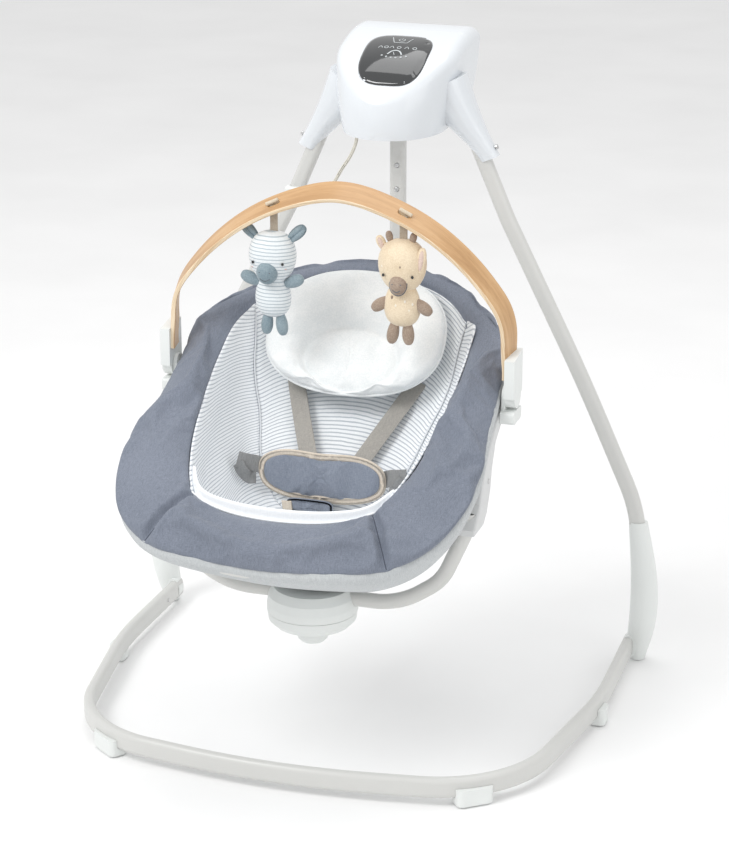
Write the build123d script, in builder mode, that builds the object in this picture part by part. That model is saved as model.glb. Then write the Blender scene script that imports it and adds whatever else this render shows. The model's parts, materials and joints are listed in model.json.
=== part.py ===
"""Compact cradle swing: a free-standing tube frame carries a motor housing, and a
pendulum arm hangs from it with a padded seat on a swivelling hub.

Millimetres.  +Z up, the floor is Z = 0, -Y is the foot (front) end of the seat, and
X = 0 is the plane of symmetry.  The origin is under the middle of the whole object.
"""
from build123d import *
import math
import os

os.makedirs("parts", exist_ok=True)

# ---------------------------------------------------------------- driving dimensions
FRAME_Y = 252.0            # plane of both legs, the arm and the housing sockets
WALL = 1.5                 # wall of every steel tube
SLIP = 0.2                 # play between a tube and the plastic around it

BASE_Z = 24.0              # centre of the base tube above the floor
BASE_WIDE, BASE_TALL, BASE_ROUND = 15.0, 28.0, 6.5
BASE_BACK_X, BASE_END_Y = 346.0, 262.0
BASE_SIDE_X, BASE_SIDE_Y = 350.0, 52.0
BASE_CORNER_X, BASE_CORNER_Y = 300.0, -243.0
BASE_NOSE_Y = -288.0
BASE_SIDE_R, BASE_CORNER_R, BASE_NOSE_R = 600.0, 160.0, 900.0

LEG_WIDE, LEG_DEEP, LEG_ROUND = 22.0, 17.0, 8.0
LEG_POINTS = [(106, 754), (157, 636), (270, 413), (352, 232), (359, 140)]
LEG_RADII = [300.0, 3000.0, 220.0]

PIVOT_Z = 792.0            # axis of the pendulum, along Y
HOUSING_FLOOR_Z = 757.0
HOUSING_REAR_Y = 354.0
HOUSING_WALL = 3.0
SEAM_ANGLE = 26.5          # lean of the joint between the two housing shells
SEAM_Y = 238.0             # where that joint meets the housing floor

ARM_WIDE, ARM_THICK, ARM_ROUND = 23.0, 15.0, 7.0
ARM_TOP_Z, ARM_LOW_Z = 768.0, 180.0
ARM_BEND_R = 130.0
ARM_END_Y = -98.0          # end of the arm, inside the hub cup
ARM_BUTTON_Z = (702.0, 668.0)
SWING_SLOT_X, SWING_SLOT_Y = 27.0, 13.0

HUB_Y = -130.0             # axis of the seat swivel, along Z
HUB_SPLIT_Z = 193.0        # where the turning hub meets the fixed cup
HUB_TOP_Z = 227.0
HUB_R = 60.0

HOOP_DIA, HOOP_Z = 20.0, 214.0
HOOP_POINTS = [(210, 352), (207, 325), (176, 254), (118, HOOP_Z)]
HOOP_RADII = [60.0, 70.0, 110.0]

SEAT_TILT = 26.0           # rake of the seat ring, head end up
RING_Y, RING_Z = -138.0, 430.0
RING_DIA = 16.0
RING_DROP = 17.0           # centre of the ring tube below the seat plane
PAD_TOP, PAD_BOTTOM = 27.0, -8.0
RING_HALF = [(95, -221), (158, -206), (204, -165), (230, -100), (236, -30), (229, 45),
             (224, 120), (217, 195), (180, 258), (105, 320)]
RING_FOOT_V, RING_HEAD_V = -229.0, 345.0
MOUTH_HALF = [(70, -137), (118, -112), (142, -50), (156, 30), (163, 130), (155, 215),
              (98, 285)]
MOUTH_FOOT_V, MOUTH_HEAD_V = -145.0, 312.0

BAR_REAR_Y = 2.0           # rear edge of the wooden bar
BAR_WIDE, BAR_THICK = 36.0, 6.0
BAR_END_TILT, BAR_TOP_TILT = 9.0, 28.0
BAR_HALF = [(236.5, 500), (236.5, 541), (233, 578), (214, 613), (177, 655), (127, 694),
            (66, 723)]
BAR_TOP_Z = 737.0
CLIP_Y, CLIP_HINGE_Z = -16.0, 476.0
CLIP_IN_X, CLIP_OUT_X = 224.3, 243.0
SLOT_X, SLOT_Y = 88.0, -16.0     # toy slots in the bar
TOY_STRAP_TOP_Z = 703.9

# ---------------------------------------------------------------- shared helpers
seat_plane = Plane(
    origin=(0, RING_Y, RING_Z),
    x_dir=(1, 0, 0),
    z_dir=(0, -math.sin(math.radians(SEAT_TILT)), math.cos(math.radians(SEAT_TILT))),
)


def save(solid, name):
    """Label one finished piece and write its STEP file."""
    solid.label = name
    export_step(solid, f"parts/{name}.step")


def joined(*solids):
    """Several separate solids as one group, for identical pieces."""
    return Compound(children=list(solids))


def flat_tube(path, x_dir, wide, tall, corner, wall=None):
    """A flattened tube swept along a path; solid where no wall is given."""
    with BuildPart() as tube:
        with BuildSketch(Plane(path @ 0, x_dir=x_dir, z_dir=path % 0)):
            RectangleRounded(wide, tall, corner)
            if wall:
                RectangleRounded(
                    wide - 2 * wall, tall - 2 * wall, corner - wall, mode=Mode.SUBTRACT
                )
        sweep(path=path)
    return tube.part


def round_tube(path, diameter, wall=None):
    """A round tube swept along a path; solid where no wall is given."""
    with BuildPart() as tube:
        with BuildSketch(Plane(path @ 0, z_dir=path % 0)):
            Circle(diameter / 2)
            if wall:
                Circle(diameter / 2 - wall, mode=Mode.SUBTRACT)
        sweep(path=path)
    return tube.part


def mirrored(points):
    """A half outline followed by its mirror image, in order round the loop."""
    return [(-x, v) for x, v in reversed(points)]


def seat_loop(half, foot, head, scale_u=1.0, span=None):
    """Closed smooth outline in the seat plane, optionally squeezed to a new span."""
    low, high = span or (foot, head)
    stretch = (high - low) / (head - foot)
    loop = [(0, foot)] + half + [(0, head)] + mirrored(half)
    points = [(u * scale_u, low + (v - foot) * stretch) for u, v in loop]
    return Spline(*points, periodic=True)


# ---------------------------------------------------------------- base and legs
with BuildLine() as base_line:
    FilletPolyline(
        (-BASE_BACK_X, BASE_END_Y, BASE_Z),
        (-BASE_SIDE_X, BASE_SIDE_Y, BASE_Z),
        (-BASE_CORNER_X, BASE_CORNER_Y, BASE_Z),
        (0, BASE_NOSE_Y, BASE_Z),
        (BASE_CORNER_X, BASE_CORNER_Y, BASE_Z),
        (BASE_SIDE_X, BASE_SIDE_Y, BASE_Z),
        (BASE_BACK_X, BASE_END_Y, BASE_Z),
        radius=[BASE_SIDE_R, BASE_CORNER_R, BASE_NOSE_R, BASE_CORNER_R, BASE_SIDE_R],
    )
base_path = base_line.wire()

base_tube = flat_tube(base_path, (1, 0, 0), BASE_WIDE, BASE_TALL, BASE_ROUND, WALL)
base_core = flat_tube(
    base_path, (1, 0, 0), BASE_WIDE + 2 * SLIP, BASE_TALL + 2 * SLIP, BASE_ROUND + SLIP
)
save(base_tube, "base_tube")


def leg_path(side):
    """Centre line of one leg, from inside its socket down into its sleeve."""
    points = [(side * x, FRAME_Y, z) for x, z in LEG_POINTS]
    with BuildLine() as line:
        FilletPolyline(*points, radius=LEG_RADII)
    return line.wire()


LEG_SLEEVE = [
    # x, y, z, half width, half depth
    (354.5, 252, 214, 13.2, 10.8),
    (358.5, 253, 184, 15.6, 13.0),
    (364.0, 254, 140, 18.2, 15.5),
    (366.0, 256, 96, 19.6, 17.5),
    (363.5, 259, 56, 19.0, 19.0),
    (359.0, 263, 24, 16.0, 17.0),
    (358.0, 266, 0, 10.0, 11.0),
]
SLEEVE_RING = (348.4, 244.0, 10.8, 17.4)


def leg_sleeve():
    """Moulded boot that joins the right leg to the base tube and stands on the floor."""
    core = flat_tube(
        leg_path(1), (1, 0, 0), LEG_WIDE + 2 * SLIP, LEG_DEEP + 2 * SLIP, LEG_ROUND
    )
    ring_x, ring_y, ring_half_x, ring_half_z = SLEEVE_RING
    with BuildPart() as sleeve:
        for x, y, z, half_x, half_d in LEG_SLEEVE:
            with BuildSketch(Plane.XY.offset(z)):
                with Locations((x, y)):
                    Ellipse(half_x, half_d)
        loft()
        ring_plane = Plane(origin=(ring_x, ring_y, BASE_Z), x_dir=(1, 0, 0), z_dir=(0, 1, 0))
        with BuildSketch(ring_plane):
            Ellipse(ring_half_x, ring_half_z)
        extrude(amount=18)
        add(core, mode=Mode.SUBTRACT)
        add(base_core, mode=Mode.SUBTRACT)
    return sleeve.part


for side, word in ((-1, "left"), (1, "right")):
    leg = flat_tube(leg_path(side), (side, 0, 0), LEG_WIDE, LEG_DEEP, LEG_ROUND, WALL)
    save(leg, f"leg_tube_{word}")
sleeve_right = leg_sleeve()
save(sleeve_right, "leg_sleeve_right")
save(sleeve_right.mirror(Plane.YZ), "leg_sleeve_left")


def base_foot(x, y, turn, long, wide):
    """White saddle that clips under the base tube and stands on the floor."""
    with BuildPart() as foot:
        with Locations(Location((x, y, BASE_Z / 2), (0, 0, turn))):
            Box(long, wide, BASE_Z)
        fillet(foot.edges().filter_by(Axis.Z), 8)
        fillet(foot.faces().sort_by(Axis.Z)[0].edges(), 3)
        add(base_core, mode=Mode.SUBTRACT)
    return foot.part


FRONT_FOOT = (249, -236, 38, 50, 27)
MID_FOOT = (351, 40, 89, 28, 23)
for name, (x, y, turn, long, wide) in (("front_feet", FRONT_FOOT), ("mid_feet", MID_FOOT)):
    save(
        joined(base_foot(x, y, turn, long, wide), base_foot(-x, y, -turn, long, wide)), name
    )


def dome_button(origin, outward, radius, proud):
    """Low domed button or screw head standing on a surface."""
    with BuildPart() as button:
        with BuildSketch(Plane(origin=origin, z_dir=outward)):
            Circle(radius)
        extrude(amount=proud)
        fillet(button.faces().sort_by(Axis(origin, outward))[-1].edges(), proud * 0.7)
    return button.part


BASE_BUTTON_Y = 205.0
BASE_BUTTON_X = 339.5
save(
    joined(
        dome_button((BASE_BUTTON_X, BASE_BUTTON_Y, BASE_Z), (-1, 0, 0), 3.2, 1.4),
        dome_button((-BASE_BUTTON_X, BASE_BUTTON_Y, BASE_Z), (1, 0, 0), 3.2, 1.4),
    ),
    "base_snap_buttons",
)

# ---------------------------------------------------------------- motor housing
DOME_PLAN = [
    # level, half width, front tip, where the straight sides start
    (HOUSING_FLOOR_Z, 70, 151, 236),
    (800, 79, 154, 242),
    (850, 86, 172, 256),
    (900, 87, 205, 280),
]
ROOF_LINE = [(120, 768), (160, 812), (206, 851), (256, 871), (306, 881), (380, 876)]


def roof_curve(lift=0.0):
    """Side profile of the housing roof, raised or lowered by an amount."""
    return Spline(*[(y, z + lift) for y, z in ROOF_LINE])


def roof_block(lift, floor_z, half_x):
    """Everything under the roof profile, between two upright planes."""
    first, last = ROOF_LINE[0], ROOF_LINE[-1]
    with BuildPart() as block:
        with BuildSketch(Plane(origin=(-half_x, 0, 0), x_dir=(0, 1, 0), z_dir=(1, 0, 0))):
            with BuildLine():
                roof = roof_curve(lift)
                Polyline(roof @ 1, (last[0], floor_z), (first[0], floor_z), roof @ 0)
            make_face()
        extrude(amount=2 * half_x)
    return block.part


def dome(inset, edge_radius):
    """Closed form of the housing; the inset gives the hollow inside it."""
    with BuildPart() as form:
        for z, half_x, tip, shoulder in DOME_PLAN:
            with BuildSketch(Plane.XY.offset(z + (inset if z == HOUSING_FLOOR_Z else 0))):
                with BuildLine():
                    nose = EllipticalCenterArc(
                        (0, shoulder),
                        half_x - inset,
                        shoulder - tip - inset,
                        start_angle=180,
                        arc_size=180,
                    )
                    Polyline(
                        nose @ 1,
                        (half_x - inset, HOUSING_REAR_Y - inset),
                        (inset - half_x, HOUSING_REAR_Y - inset),
                        nose @ 0,
                    )
                make_face()
        loft()
        add(roof_block(-inset, HOUSING_FLOOR_Z - 10, 120), mode=Mode.INTERSECT)
        top = form.faces().sort_by(Axis.Z)[-1]
        fillet(top.edges(), edge_radius)
    return form.part


SOCKET_SECTIONS = [
    # x, z, width across, depth along Y
    (66, 822, 62, 66),
    (88, 779, 50, 52),
    (111, 748, 34, 34),
    (131.5, 719.5, 26.5, 23),
]
SOCKET_LEAN = 23.4          # slope of the sockets and of the leg tops from upright


def leg_socket(side):
    """Tapered arm of the rear shell that takes the top of one leg."""
    lean = math.radians(SOCKET_LEAN)
    with BuildPart() as socket:
        for x, z, wide, deep in SOCKET_SECTIONS:
            plane = Plane(
                origin=(side * x, FRAME_Y, z),
                x_dir=(0, 1, 0),
                z_dir=(side * math.sin(lean), 0, -math.cos(lean)),
            )
            with BuildSketch(plane):
                RectangleRounded(deep, wide, min(deep, wide) * 0.42)
        loft()
    return socket.part


SCREW_START = {1: 11.5, -1: 11.5}
SOCKET_SCREWS = [
    # x, z, direction across the socket, +1 outward
    (128, 731, 1),
    (118, 752, -1),
]


def socket_screws(radius, depth):
    """Screw heads let into the sockets, on the outer and the inner side of each arm."""
    lean = math.radians(SOCKET_LEAN)
    heads = []
    for side in (1, -1):
        for x, z, way in SOCKET_SCREWS:
            across = (side * way * math.cos(lean), 0, way * math.sin(lean))
            start = Vector(side * x, FRAME_Y, z) + Vector(across) * SCREW_START[way]
            with BuildPart() as head:
                with BuildSketch(Plane(origin=start, z_dir=across)):
                    Circle(radius)
                extrude(amount=depth)
            heads.append(head.part)
    return heads


def rear_screws(radius, depth):
    """Screw heads let flush into the back of the rear shell."""
    heads = []
    for x in (-70, 70):
        for z in (772, 845):
            with BuildPart() as head:
                with BuildSketch(Plane(origin=(x, HOUSING_REAR_Y, z), z_dir=(0, -1, 0))):
                    Circle(radius)
                extrude(amount=depth)
            heads.append(head.part)
    return heads


def front_side(gap):
    """The space in front of the leaning seam between the two shells."""
    lean = math.radians(SEAM_ANGLE)
    seam = Plane(
        origin=(0, SEAM_Y, HOUSING_FLOOR_Z),
        x_dir=(1, 0, 0),
        z_dir=(0, -math.cos(lean), math.sin(lean)),
    )
    with BuildPart() as space:
        with BuildSketch(seam.offset(gap)):
            Rectangle(500, 500)
        extrude(amount=300)
    return space.part


PANEL_HALF_TOP, PANEL_HALF_LOW = 36.0, 47.0
PANEL_BACK_Y, PANEL_MID_Y, PANEL_FRONT_Y = 274.0, 222.0, 178.0
PANEL_PROUD, PANEL_DEEP = 0.8, 1.6


def panel_form(grow):
    """Lens outline in plan, cut to a skin that follows the roof."""
    with BuildPart() as lens:
        with BuildSketch(Plane.XY.offset(800)) as outline:
            with BuildLine():
                Polyline(
                    (-PANEL_HALF_TOP, PANEL_BACK_Y),
                    (PANEL_HALF_TOP, PANEL_BACK_Y),
                    (PANEL_HALF_LOW, PANEL_MID_Y),
                    (PANEL_HALF_LOW - 12, PANEL_FRONT_Y),
                    (12 - PANEL_HALF_LOW, PANEL_FRONT_Y),
                    (-PANEL_HALF_LOW, PANEL_MID_Y),
                    close=True,
                )
            make_face()
            fillet(outline.vertices().group_by(Axis.Y)[0], 20)
            fillet(outline.vertices().group_by(Axis.Y)[-1], 17)
            offset(amount=grow)
        extrude(amount=100)
        add(roof_block(PANEL_PROUD, HOUSING_FLOOR_Z, 120), mode=Mode.INTERSECT)
        add(roof_block(-PANEL_DEEP, HOUSING_FLOOR_Z - 5, 130), mode=Mode.SUBTRACT)
    return lens.part


CELL_DIA, CELL_LONG, CELL_Z = 26.0, 50.0, 798.0
CELL_Y = HOUSING_REAR_Y - 18.0
DOOR_WIDE, DOOR_TALL = 116.0, 62.0

dome_outer = dome(0.0, 17.0)
dome_inner = dome(HOUSING_WALL, 14.0)

with BuildPart() as swing_slot:
    with BuildSketch(Plane.XY.offset(HOUSING_FLOOR_Z - 6)):
        with Locations((0, FRAME_Y)):
            RectangleRounded(2 * SWING_SLOT_X, 2 * SWING_SLOT_Y, 8)
    extrude(amount=14)

LEAD_EXIT = (-52, 226)      # where the lead leaves the housing floor, x and y
LEAD_GLAND_R = 6.0

with BuildPart() as housing_front:
    add(dome_outer)
    add(dome_inner, mode=Mode.SUBTRACT)
    add(front_side(0.15), mode=Mode.INTERSECT)
    add(leg_socket(1), mode=Mode.SUBTRACT)
    add(leg_socket(-1), mode=Mode.SUBTRACT)
    add(panel_form(0.25), mode=Mode.SUBTRACT)
    add(swing_slot.part, mode=Mode.SUBTRACT)
    with Locations((*LEAD_EXIT, HOUSING_FLOOR_Z)):
        Cylinder(LEAD_GLAND_R, 12, mode=Mode.SUBTRACT)
save(housing_front.part, "housing_front")

with BuildPart() as housing_rear:
    add(dome_outer)
    add(front_side(0.0), mode=Mode.SUBTRACT)
    add(leg_socket(1))
    add(leg_socket(-1))
    add(dome_inner, mode=Mode.SUBTRACT)
    add(swing_slot.part, mode=Mode.SUBTRACT)
    for side in (1, -1):
        core = flat_tube(
            leg_path(side), (side, 0, 0), LEG_WIDE + 2 * SLIP, LEG_DEEP + 2 * SLIP, LEG_ROUND
        )
        add(core, mode=Mode.SUBTRACT)
    with Locations((0, HOUSING_REAR_Y, CELL_Z)):
        Box(DOOR_WIDE + 0.6, 8, DOOR_TALL + 0.6, mode=Mode.SUBTRACT)
    for head in rear_screws(3.6, 1.4) + socket_screws(3.5, 8.0):
        add(head, mode=Mode.SUBTRACT)
save(housing_rear.part, "housing_rear")
save(panel_form(0.0), "control_panel")

with BuildPart() as battery_door:
    with Locations((0, HOUSING_REAR_Y - HOUSING_WALL / 2, CELL_Z)):
        Box(DOOR_WIDE, HOUSING_WALL, DOOR_TALL)
    fillet(battery_door.edges().filter_by(Axis.Y), 5)
    with Locations(Plane(origin=(0, HOUSING_REAR_Y, CELL_Z + 20), z_dir=(0, 1, 0))):
        Box(34, 9, 1.6, mode=Mode.SUBTRACT)
save(battery_door.part, "battery_door")

# ---------------------------------------------------------------- inside the housing
BRACKET_HALF_Y, BRACKET_PLATE = 28.0, 4.0
BUSH_R, BUSH_FLANGE_R, BUSH_FLANGE = 7.0, 10.0, 1.5
SHAFT_DIA = 8.0
RUNNING_FIT = 0.05

dome_slack = dome(HOUSING_WALL + 0.3, 13.5)

with BuildPart() as pivot_bracket:
    for way in (-1, 1):
        middle = FRAME_Y + way * (BRACKET_HALF_Y + BRACKET_PLATE / 2)
        with Locations((0, middle, 801)):
            Box(180, BRACKET_PLATE, 58)
    with Locations((0, FRAME_Y, 828)):
        Box(60, 2 * BRACKET_HALF_Y + 1, 4)
    add(dome_slack, mode=Mode.INTERSECT)
    with Locations(Plane(origin=(0, FRAME_Y, PIVOT_Z), z_dir=(0, 1, 0))):
        Cylinder(BUSH_R, 80, mode=Mode.SUBTRACT)
save(pivot_bracket.part, "pivot_bracket")


def shaft_bush(way):
    """Flanged plain bearing pressed into one plate of the bracket."""
    face_y = FRAME_Y + way * BRACKET_HALF_Y
    with BuildPart() as bush:
        with BuildSketch(Plane(origin=(0, face_y, PIVOT_Z), z_dir=(0, way, 0))):
            Circle(BUSH_R)
        extrude(amount=BRACKET_PLATE)
        with BuildSketch(Plane(origin=(0, face_y, PIVOT_Z), z_dir=(0, -way, 0))):
            Circle(BUSH_FLANGE_R)
        extrude(amount=BUSH_FLANGE)
        with Locations(Plane(origin=(0, face_y, PIVOT_Z), z_dir=(0, 1, 0))):
            Cylinder(SHAFT_DIA / 2 + RUNNING_FIT, 40, mode=Mode.SUBTRACT)
    return bush.part


save(joined(shaft_bush(-1), shaft_bush(1)), "shaft_bushes")

with BuildPart() as swing_shaft:
    with Locations(Plane(origin=(0, FRAME_Y, PIVOT_Z), z_dir=(0, 1, 0))):
        Cylinder(SHAFT_DIA / 2, 2 * BRACKET_HALF_Y + 16)
    chamfer(swing_shaft.edges().filter_by(GeomType.CIRCLE), 0.8)
save(swing_shaft.part, "swing_shaft")

with BuildPart() as drive_coil:
    with Locations((0, FRAME_Y, 821.5)):
        Cylinder(13, 8)
        Cylinder(5, 8, mode=Mode.SUBTRACT)
save(drive_coil.part, "drive_coil")

BOARD_LEAN = 24.0
board_plane = Plane(
    origin=(0, 212, 837),
    x_dir=(1, 0, 0),
    z_dir=(0, -math.sin(math.radians(BOARD_LEAN)), math.cos(math.radians(BOARD_LEAN))),
)
with BuildPart() as circuit_board:
    with BuildSketch(board_plane):
        RectangleRounded(72, 60, 3)
    extrude(amount=1.6)
    with BuildSketch(board_plane.offset(1.6)):
        with Locations((-18, 8), (16, -10)):
            Rectangle(14, 10)
        with Locations((14, 12)):
            Circle(5)
    extrude(amount=2.5)
save(circuit_board.part, "circuit_board")

with BuildPart() as speaker:
    with BuildSketch(Plane(origin=(0, 186, 794), z_dir=(0, -1, 0))):
        Circle(18)
    extrude(amount=3)
    with BuildSketch(Plane(origin=(0, 186, 794), z_dir=(0, 1, 0))):
        Circle(11)
    extrude(amount=9)
save(speaker.part, "speaker")

cells, contacts = [], []
for step in (-1.5, -0.5, 0.5, 1.5):
    with BuildPart() as cell:
        with Locations((step * CELL_DIA, CELL_Y, CELL_Z)):
            Cylinder(CELL_DIA / 2 - 0.3, CELL_LONG)
        with Locations((step * CELL_DIA, CELL_Y, CELL_Z + CELL_LONG / 2)):
            Cylinder(4, 3)
    cells.append(cell.part)
    with BuildPart() as contact:
        with Locations((step * CELL_DIA, CELL_Y, CELL_Z - CELL_LONG / 2 - 3)):
            Cylinder(5, 5.4)
    contacts.append(contact.part)
save(joined(*cells), "battery_cells")
save(joined(*contacts), "battery_springs")

# ---------------------------------------------------------------- lead under the housing
LEAD_DIA = 5.0
LEAD_ROUTE = [
    (-52, 226, 753.4),
    (-54, 230, 735),
    (-64, 236, 713),
    (-78, 239, 692),
    (-91, 241, 671),
    (-109, 244, 655),
    (-130.4, 248, 651),
]


def arc_radii(points):
    """Largest tangent arc that each corner of a route leaves room for."""
    radii = []
    for before, corner, after in zip(points, points[1:], points[2:]):
        into = Vector(corner) - Vector(before)
        out = Vector(after) - Vector(corner)
        half_turn = math.radians(into.get_angle(out)) / 2
        radii.append(0.45 * min(into.length, out.length) / math.tan(half_turn))
    return radii


lead_radii = arc_radii(LEAD_ROUTE)
print("lead radii", [round(radius) for radius in lead_radii])
with BuildLine() as lead_line:
    FilletPolyline(*LEAD_ROUTE, radius=lead_radii)
lead_path = lead_line.wire()
save(round_tube(lead_path, LEAD_DIA), "tether_lead")
print("lead length", round(lead_path.length, 1))

with BuildPart() as lead_gland:
    with Locations((*LEAD_EXIT, HOUSING_FLOOR_Z + 1)):
        Cylinder(LEAD_GLAND_R - 0.1, 6)
    with Locations((*LEAD_EXIT, HOUSING_FLOOR_Z - 2.5)):
        Cylinder(LEAD_GLAND_R + 2, 1)
save(lead_gland.part, "lead_gland")

leg_core_left = flat_tube(
    leg_path(-1), (-1, 0, 0), LEG_WIDE + 2 * SLIP, LEG_DEEP + 2 * SLIP, LEG_ROUND
)
with BuildPart() as lead_clip:
    with Locations((-147, FRAME_Y - 3, 653)):
        Box(32, 20, 16)
    fillet(lead_clip.edges(), 4)
    add(leg_core_left, mode=Mode.SUBTRACT)
save(lead_clip.part.solids().sort_by(SortBy.VOLUME)[-1], "lead_clip")

# ---------------------------------------------------------------- pendulum arm
with BuildLine() as arm_line:
    FilletPolyline(
        (0, FRAME_Y, ARM_TOP_Z), (0, FRAME_Y, ARM_LOW_Z), (0, ARM_END_Y, ARM_LOW_Z),
        radius=ARM_BEND_R,
    )
arm_path = arm_line.wire()
BUTTON_R, BUTTON_HOLE_R, BUTTON_FLANGE_R = 3.4, 3.7, 4.4
STUB_TOP_Z, STUB_LOW_Z = 782.0, 652.0
STUB_PLAY = 0.15


def button_holes(radius):
    """Front holes of the two spring buttons."""
    with BuildPart() as holes:
        for z in ARM_BUTTON_Z:
            with Locations(Plane(origin=(0, FRAME_Y - 6, z), z_dir=(0, 1, 0))):
                Cylinder(radius, 8)
    return holes.part


with BuildPart() as arm_tube:
    add(flat_tube(arm_path, (1, 0, 0), ARM_WIDE, ARM_THICK, ARM_ROUND, WALL))
    add(button_holes(BUTTON_HOLE_R), mode=Mode.SUBTRACT)
save(arm_tube.part, "arm_tube")

with BuildPart() as arm_stub:
    with BuildSketch(Plane.XY.offset(STUB_LOW_Z)):
        with Locations((0, FRAME_Y)):
            wide = ARM_WIDE - 2 * WALL - 2 * STUB_PLAY
            thick = ARM_THICK - 2 * WALL - 2 * STUB_PLAY
            RectangleRounded(wide, thick, thick / 2 - 0.1)
            RectangleRounded(
                wide - 2 * WALL, thick - 2 * WALL, thick / 2 - WALL - 0.1, mode=Mode.SUBTRACT
            )
    extrude(amount=STUB_TOP_Z - STUB_LOW_Z)
    add(button_holes(BUTTON_HOLE_R), mode=Mode.SUBTRACT)
save(arm_stub.part, "arm_stub")

with BuildPart() as arm_hanger:
    with Locations((0, FRAME_Y, 788)):
        Box(34, 30, 36)
    fillet(arm_hanger.edges().filter_by(Axis.Y), 8)
    with Locations(Plane(origin=(0, FRAME_Y, PIVOT_Z), z_dir=(0, 1, 0))):
        Cylinder(SHAFT_DIA, 2 * (BRACKET_HALF_Y - BUSH_FLANGE) - 1.0)
        Cylinder(SHAFT_DIA / 2, 60, mode=Mode.SUBTRACT)
    with BuildSketch(Plane.XY.offset(STUB_LOW_Z)):
        with Locations((0, FRAME_Y)):
            RectangleRounded(wide, thick, thick / 2 - 0.1)
    extrude(amount=STUB_TOP_Z - STUB_LOW_Z, mode=Mode.SUBTRACT)
save(arm_hanger.part, "arm_hanger")

with BuildPart() as drive_magnet:
    with Locations((0, FRAME_Y, 809)):
        Box(18, 20, 6)
    fillet(drive_magnet.edges().filter_by(Axis.Z), 2)
save(drive_magnet.part, "drive_magnet")

BUTTON_TIP_Y, BUTTON_FLANGE_Y, BUTTON_BACK_Y = 242.8, 249.6, 251.0
LEAF_Y = 253.4
leaves = []
for z, word in zip(ARM_BUTTON_Z, ("upper", "lower")):
    with BuildPart() as button:
        with BuildSketch(Plane(origin=(0, BUTTON_TIP_Y, z), z_dir=(0, 1, 0))):
            Circle(BUTTON_R)
        extrude(amount=BUTTON_BACK_Y - BUTTON_TIP_Y)
        fillet(button.faces().sort_by(Axis.Y)[0].edges(), 1.2)
        with BuildSketch(Plane(origin=(0, BUTTON_FLANGE_Y, z), z_dir=(0, 1, 0))):
            Circle(BUTTON_FLANGE_R)
        extrude(amount=BUTTON_BACK_Y - BUTTON_FLANGE_Y)
    save(button.part, f"arm_button_{word}")
    with BuildPart() as leaf:
        with Locations((0, LEAF_Y, z)):
            Box(6, 0.8, 26)
    leaves.append(leaf.part)
save(joined(*leaves), "button_springs")

# ---------------------------------------------------------------- swivel hub
POST_R, POST_LOW_Z, POST_TOP_Z = 14.0, 176.0, 203.0
STEM_R, KNOB_TOP_Z, KNOB_LOW_Z = 6.0, 164.0, 148.0
SPRING_R = 9.5
HUB_GAP = 0.8


def hub_turned(outline):
    """Solid of revolution about the swivel axis from a closed radius-height outline."""
    with BuildPart() as turned:
        with BuildSketch(Plane(origin=(0, HUB_Y, 0), x_dir=(1, 0, 0), z_dir=(0, -1, 0))):
            with BuildLine():
                Polyline(*outline, close=True)
            make_face()
        revolve(axis=Axis((0, HUB_Y, 0), (0, 0, 1)))
    return turned.part


arm_core = flat_tube(
    arm_path, (1, 0, 0), ARM_WIDE + 2 * SLIP, ARM_THICK + 2 * SLIP, ARM_ROUND
)
with BuildPart() as hub_cup:
    add(hub_turned([(0, 165.5), (23, 165.5), (34, 168), (50, 174), (58, 182),
                    (59.5, HUB_SPLIT_Z), (0, HUB_SPLIT_Z)]))
    with BuildSketch(Plane.XY.offset(165)):
        with Locations((0, HUB_Y)):
            Circle(SPRING_R + 0.5)
    extrude(amount=POST_LOW_Z - 165, mode=Mode.SUBTRACT)
    with BuildSketch(Plane.XY.offset(POST_LOW_Z)):
        with Locations((0, HUB_Y)):
            Circle(POST_R)
    extrude(amount=40, mode=Mode.SUBTRACT)
    add(arm_core, mode=Mode.SUBTRACT)
save(hub_cup.part, "hub_cup")

save(
    hub_turned([(0, POST_LOW_Z), (POST_R, POST_LOW_Z), (POST_R, POST_TOP_Z), (0, POST_TOP_Z)]),
    "swivel_post",
)
save(
    hub_turned([(6.8, 167), (SPRING_R, 167), (SPRING_R, POST_LOW_Z - 0.3),
                (6.8, POST_LOW_Z - 0.3)]),
    "knob_spring",
)

with BuildPart() as swivel_knob:
    add(hub_turned([(0, KNOB_LOW_Z), (15, KNOB_LOW_Z), (20, 153), (22, 160),
                    (22, KNOB_TOP_Z), (STEM_R, KNOB_TOP_Z), (STEM_R, 174), (0, 174)]))
    fillet(swivel_knob.edges().filter_by(GeomType.CIRCLE).group_by(Axis.Z)[0], 3)
save(swivel_knob.part, "swivel_knob")

# ---------------------------------------------------------------- seat frame
with BuildLine() as hoop_line:
    right_half = [(x, HUB_Y, z) for x, z in HOOP_POINTS]
    left_half = [(-x, y, z) for x, y, z in reversed(right_half)]
    FilletPolyline(*right_half, *left_half, radius=HOOP_RADII[:2] + [110, 110] + HOOP_RADII[1::-1])
hoop_path = hoop_line.wire()
save(round_tube(hoop_path, HOOP_DIA, WALL), "seat_hoop")
hoop_core = round_tube(hoop_path, HOOP_DIA + 2 * SLIP)

with BuildPart() as hub_shell:
    split_z = HUB_SPLIT_Z + HUB_GAP
    add(hub_turned([(0, split_z), (HUB_R, split_z), (HUB_R, 204), (58, 216),
                    (51, HUB_TOP_Z), (0, HUB_TOP_Z)]))
    with BuildSketch(Plane.XY.offset(HUB_SPLIT_Z)):
        with Locations((0, HUB_Y)):
            Circle(POST_R + RUNNING_FIT)
    extrude(amount=POST_TOP_Z + 0.4 - HUB_SPLIT_Z, mode=Mode.SUBTRACT)
    add(hoop_core, mode=Mode.SUBTRACT)
save(hub_shell.part, "hub_shell")

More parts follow.
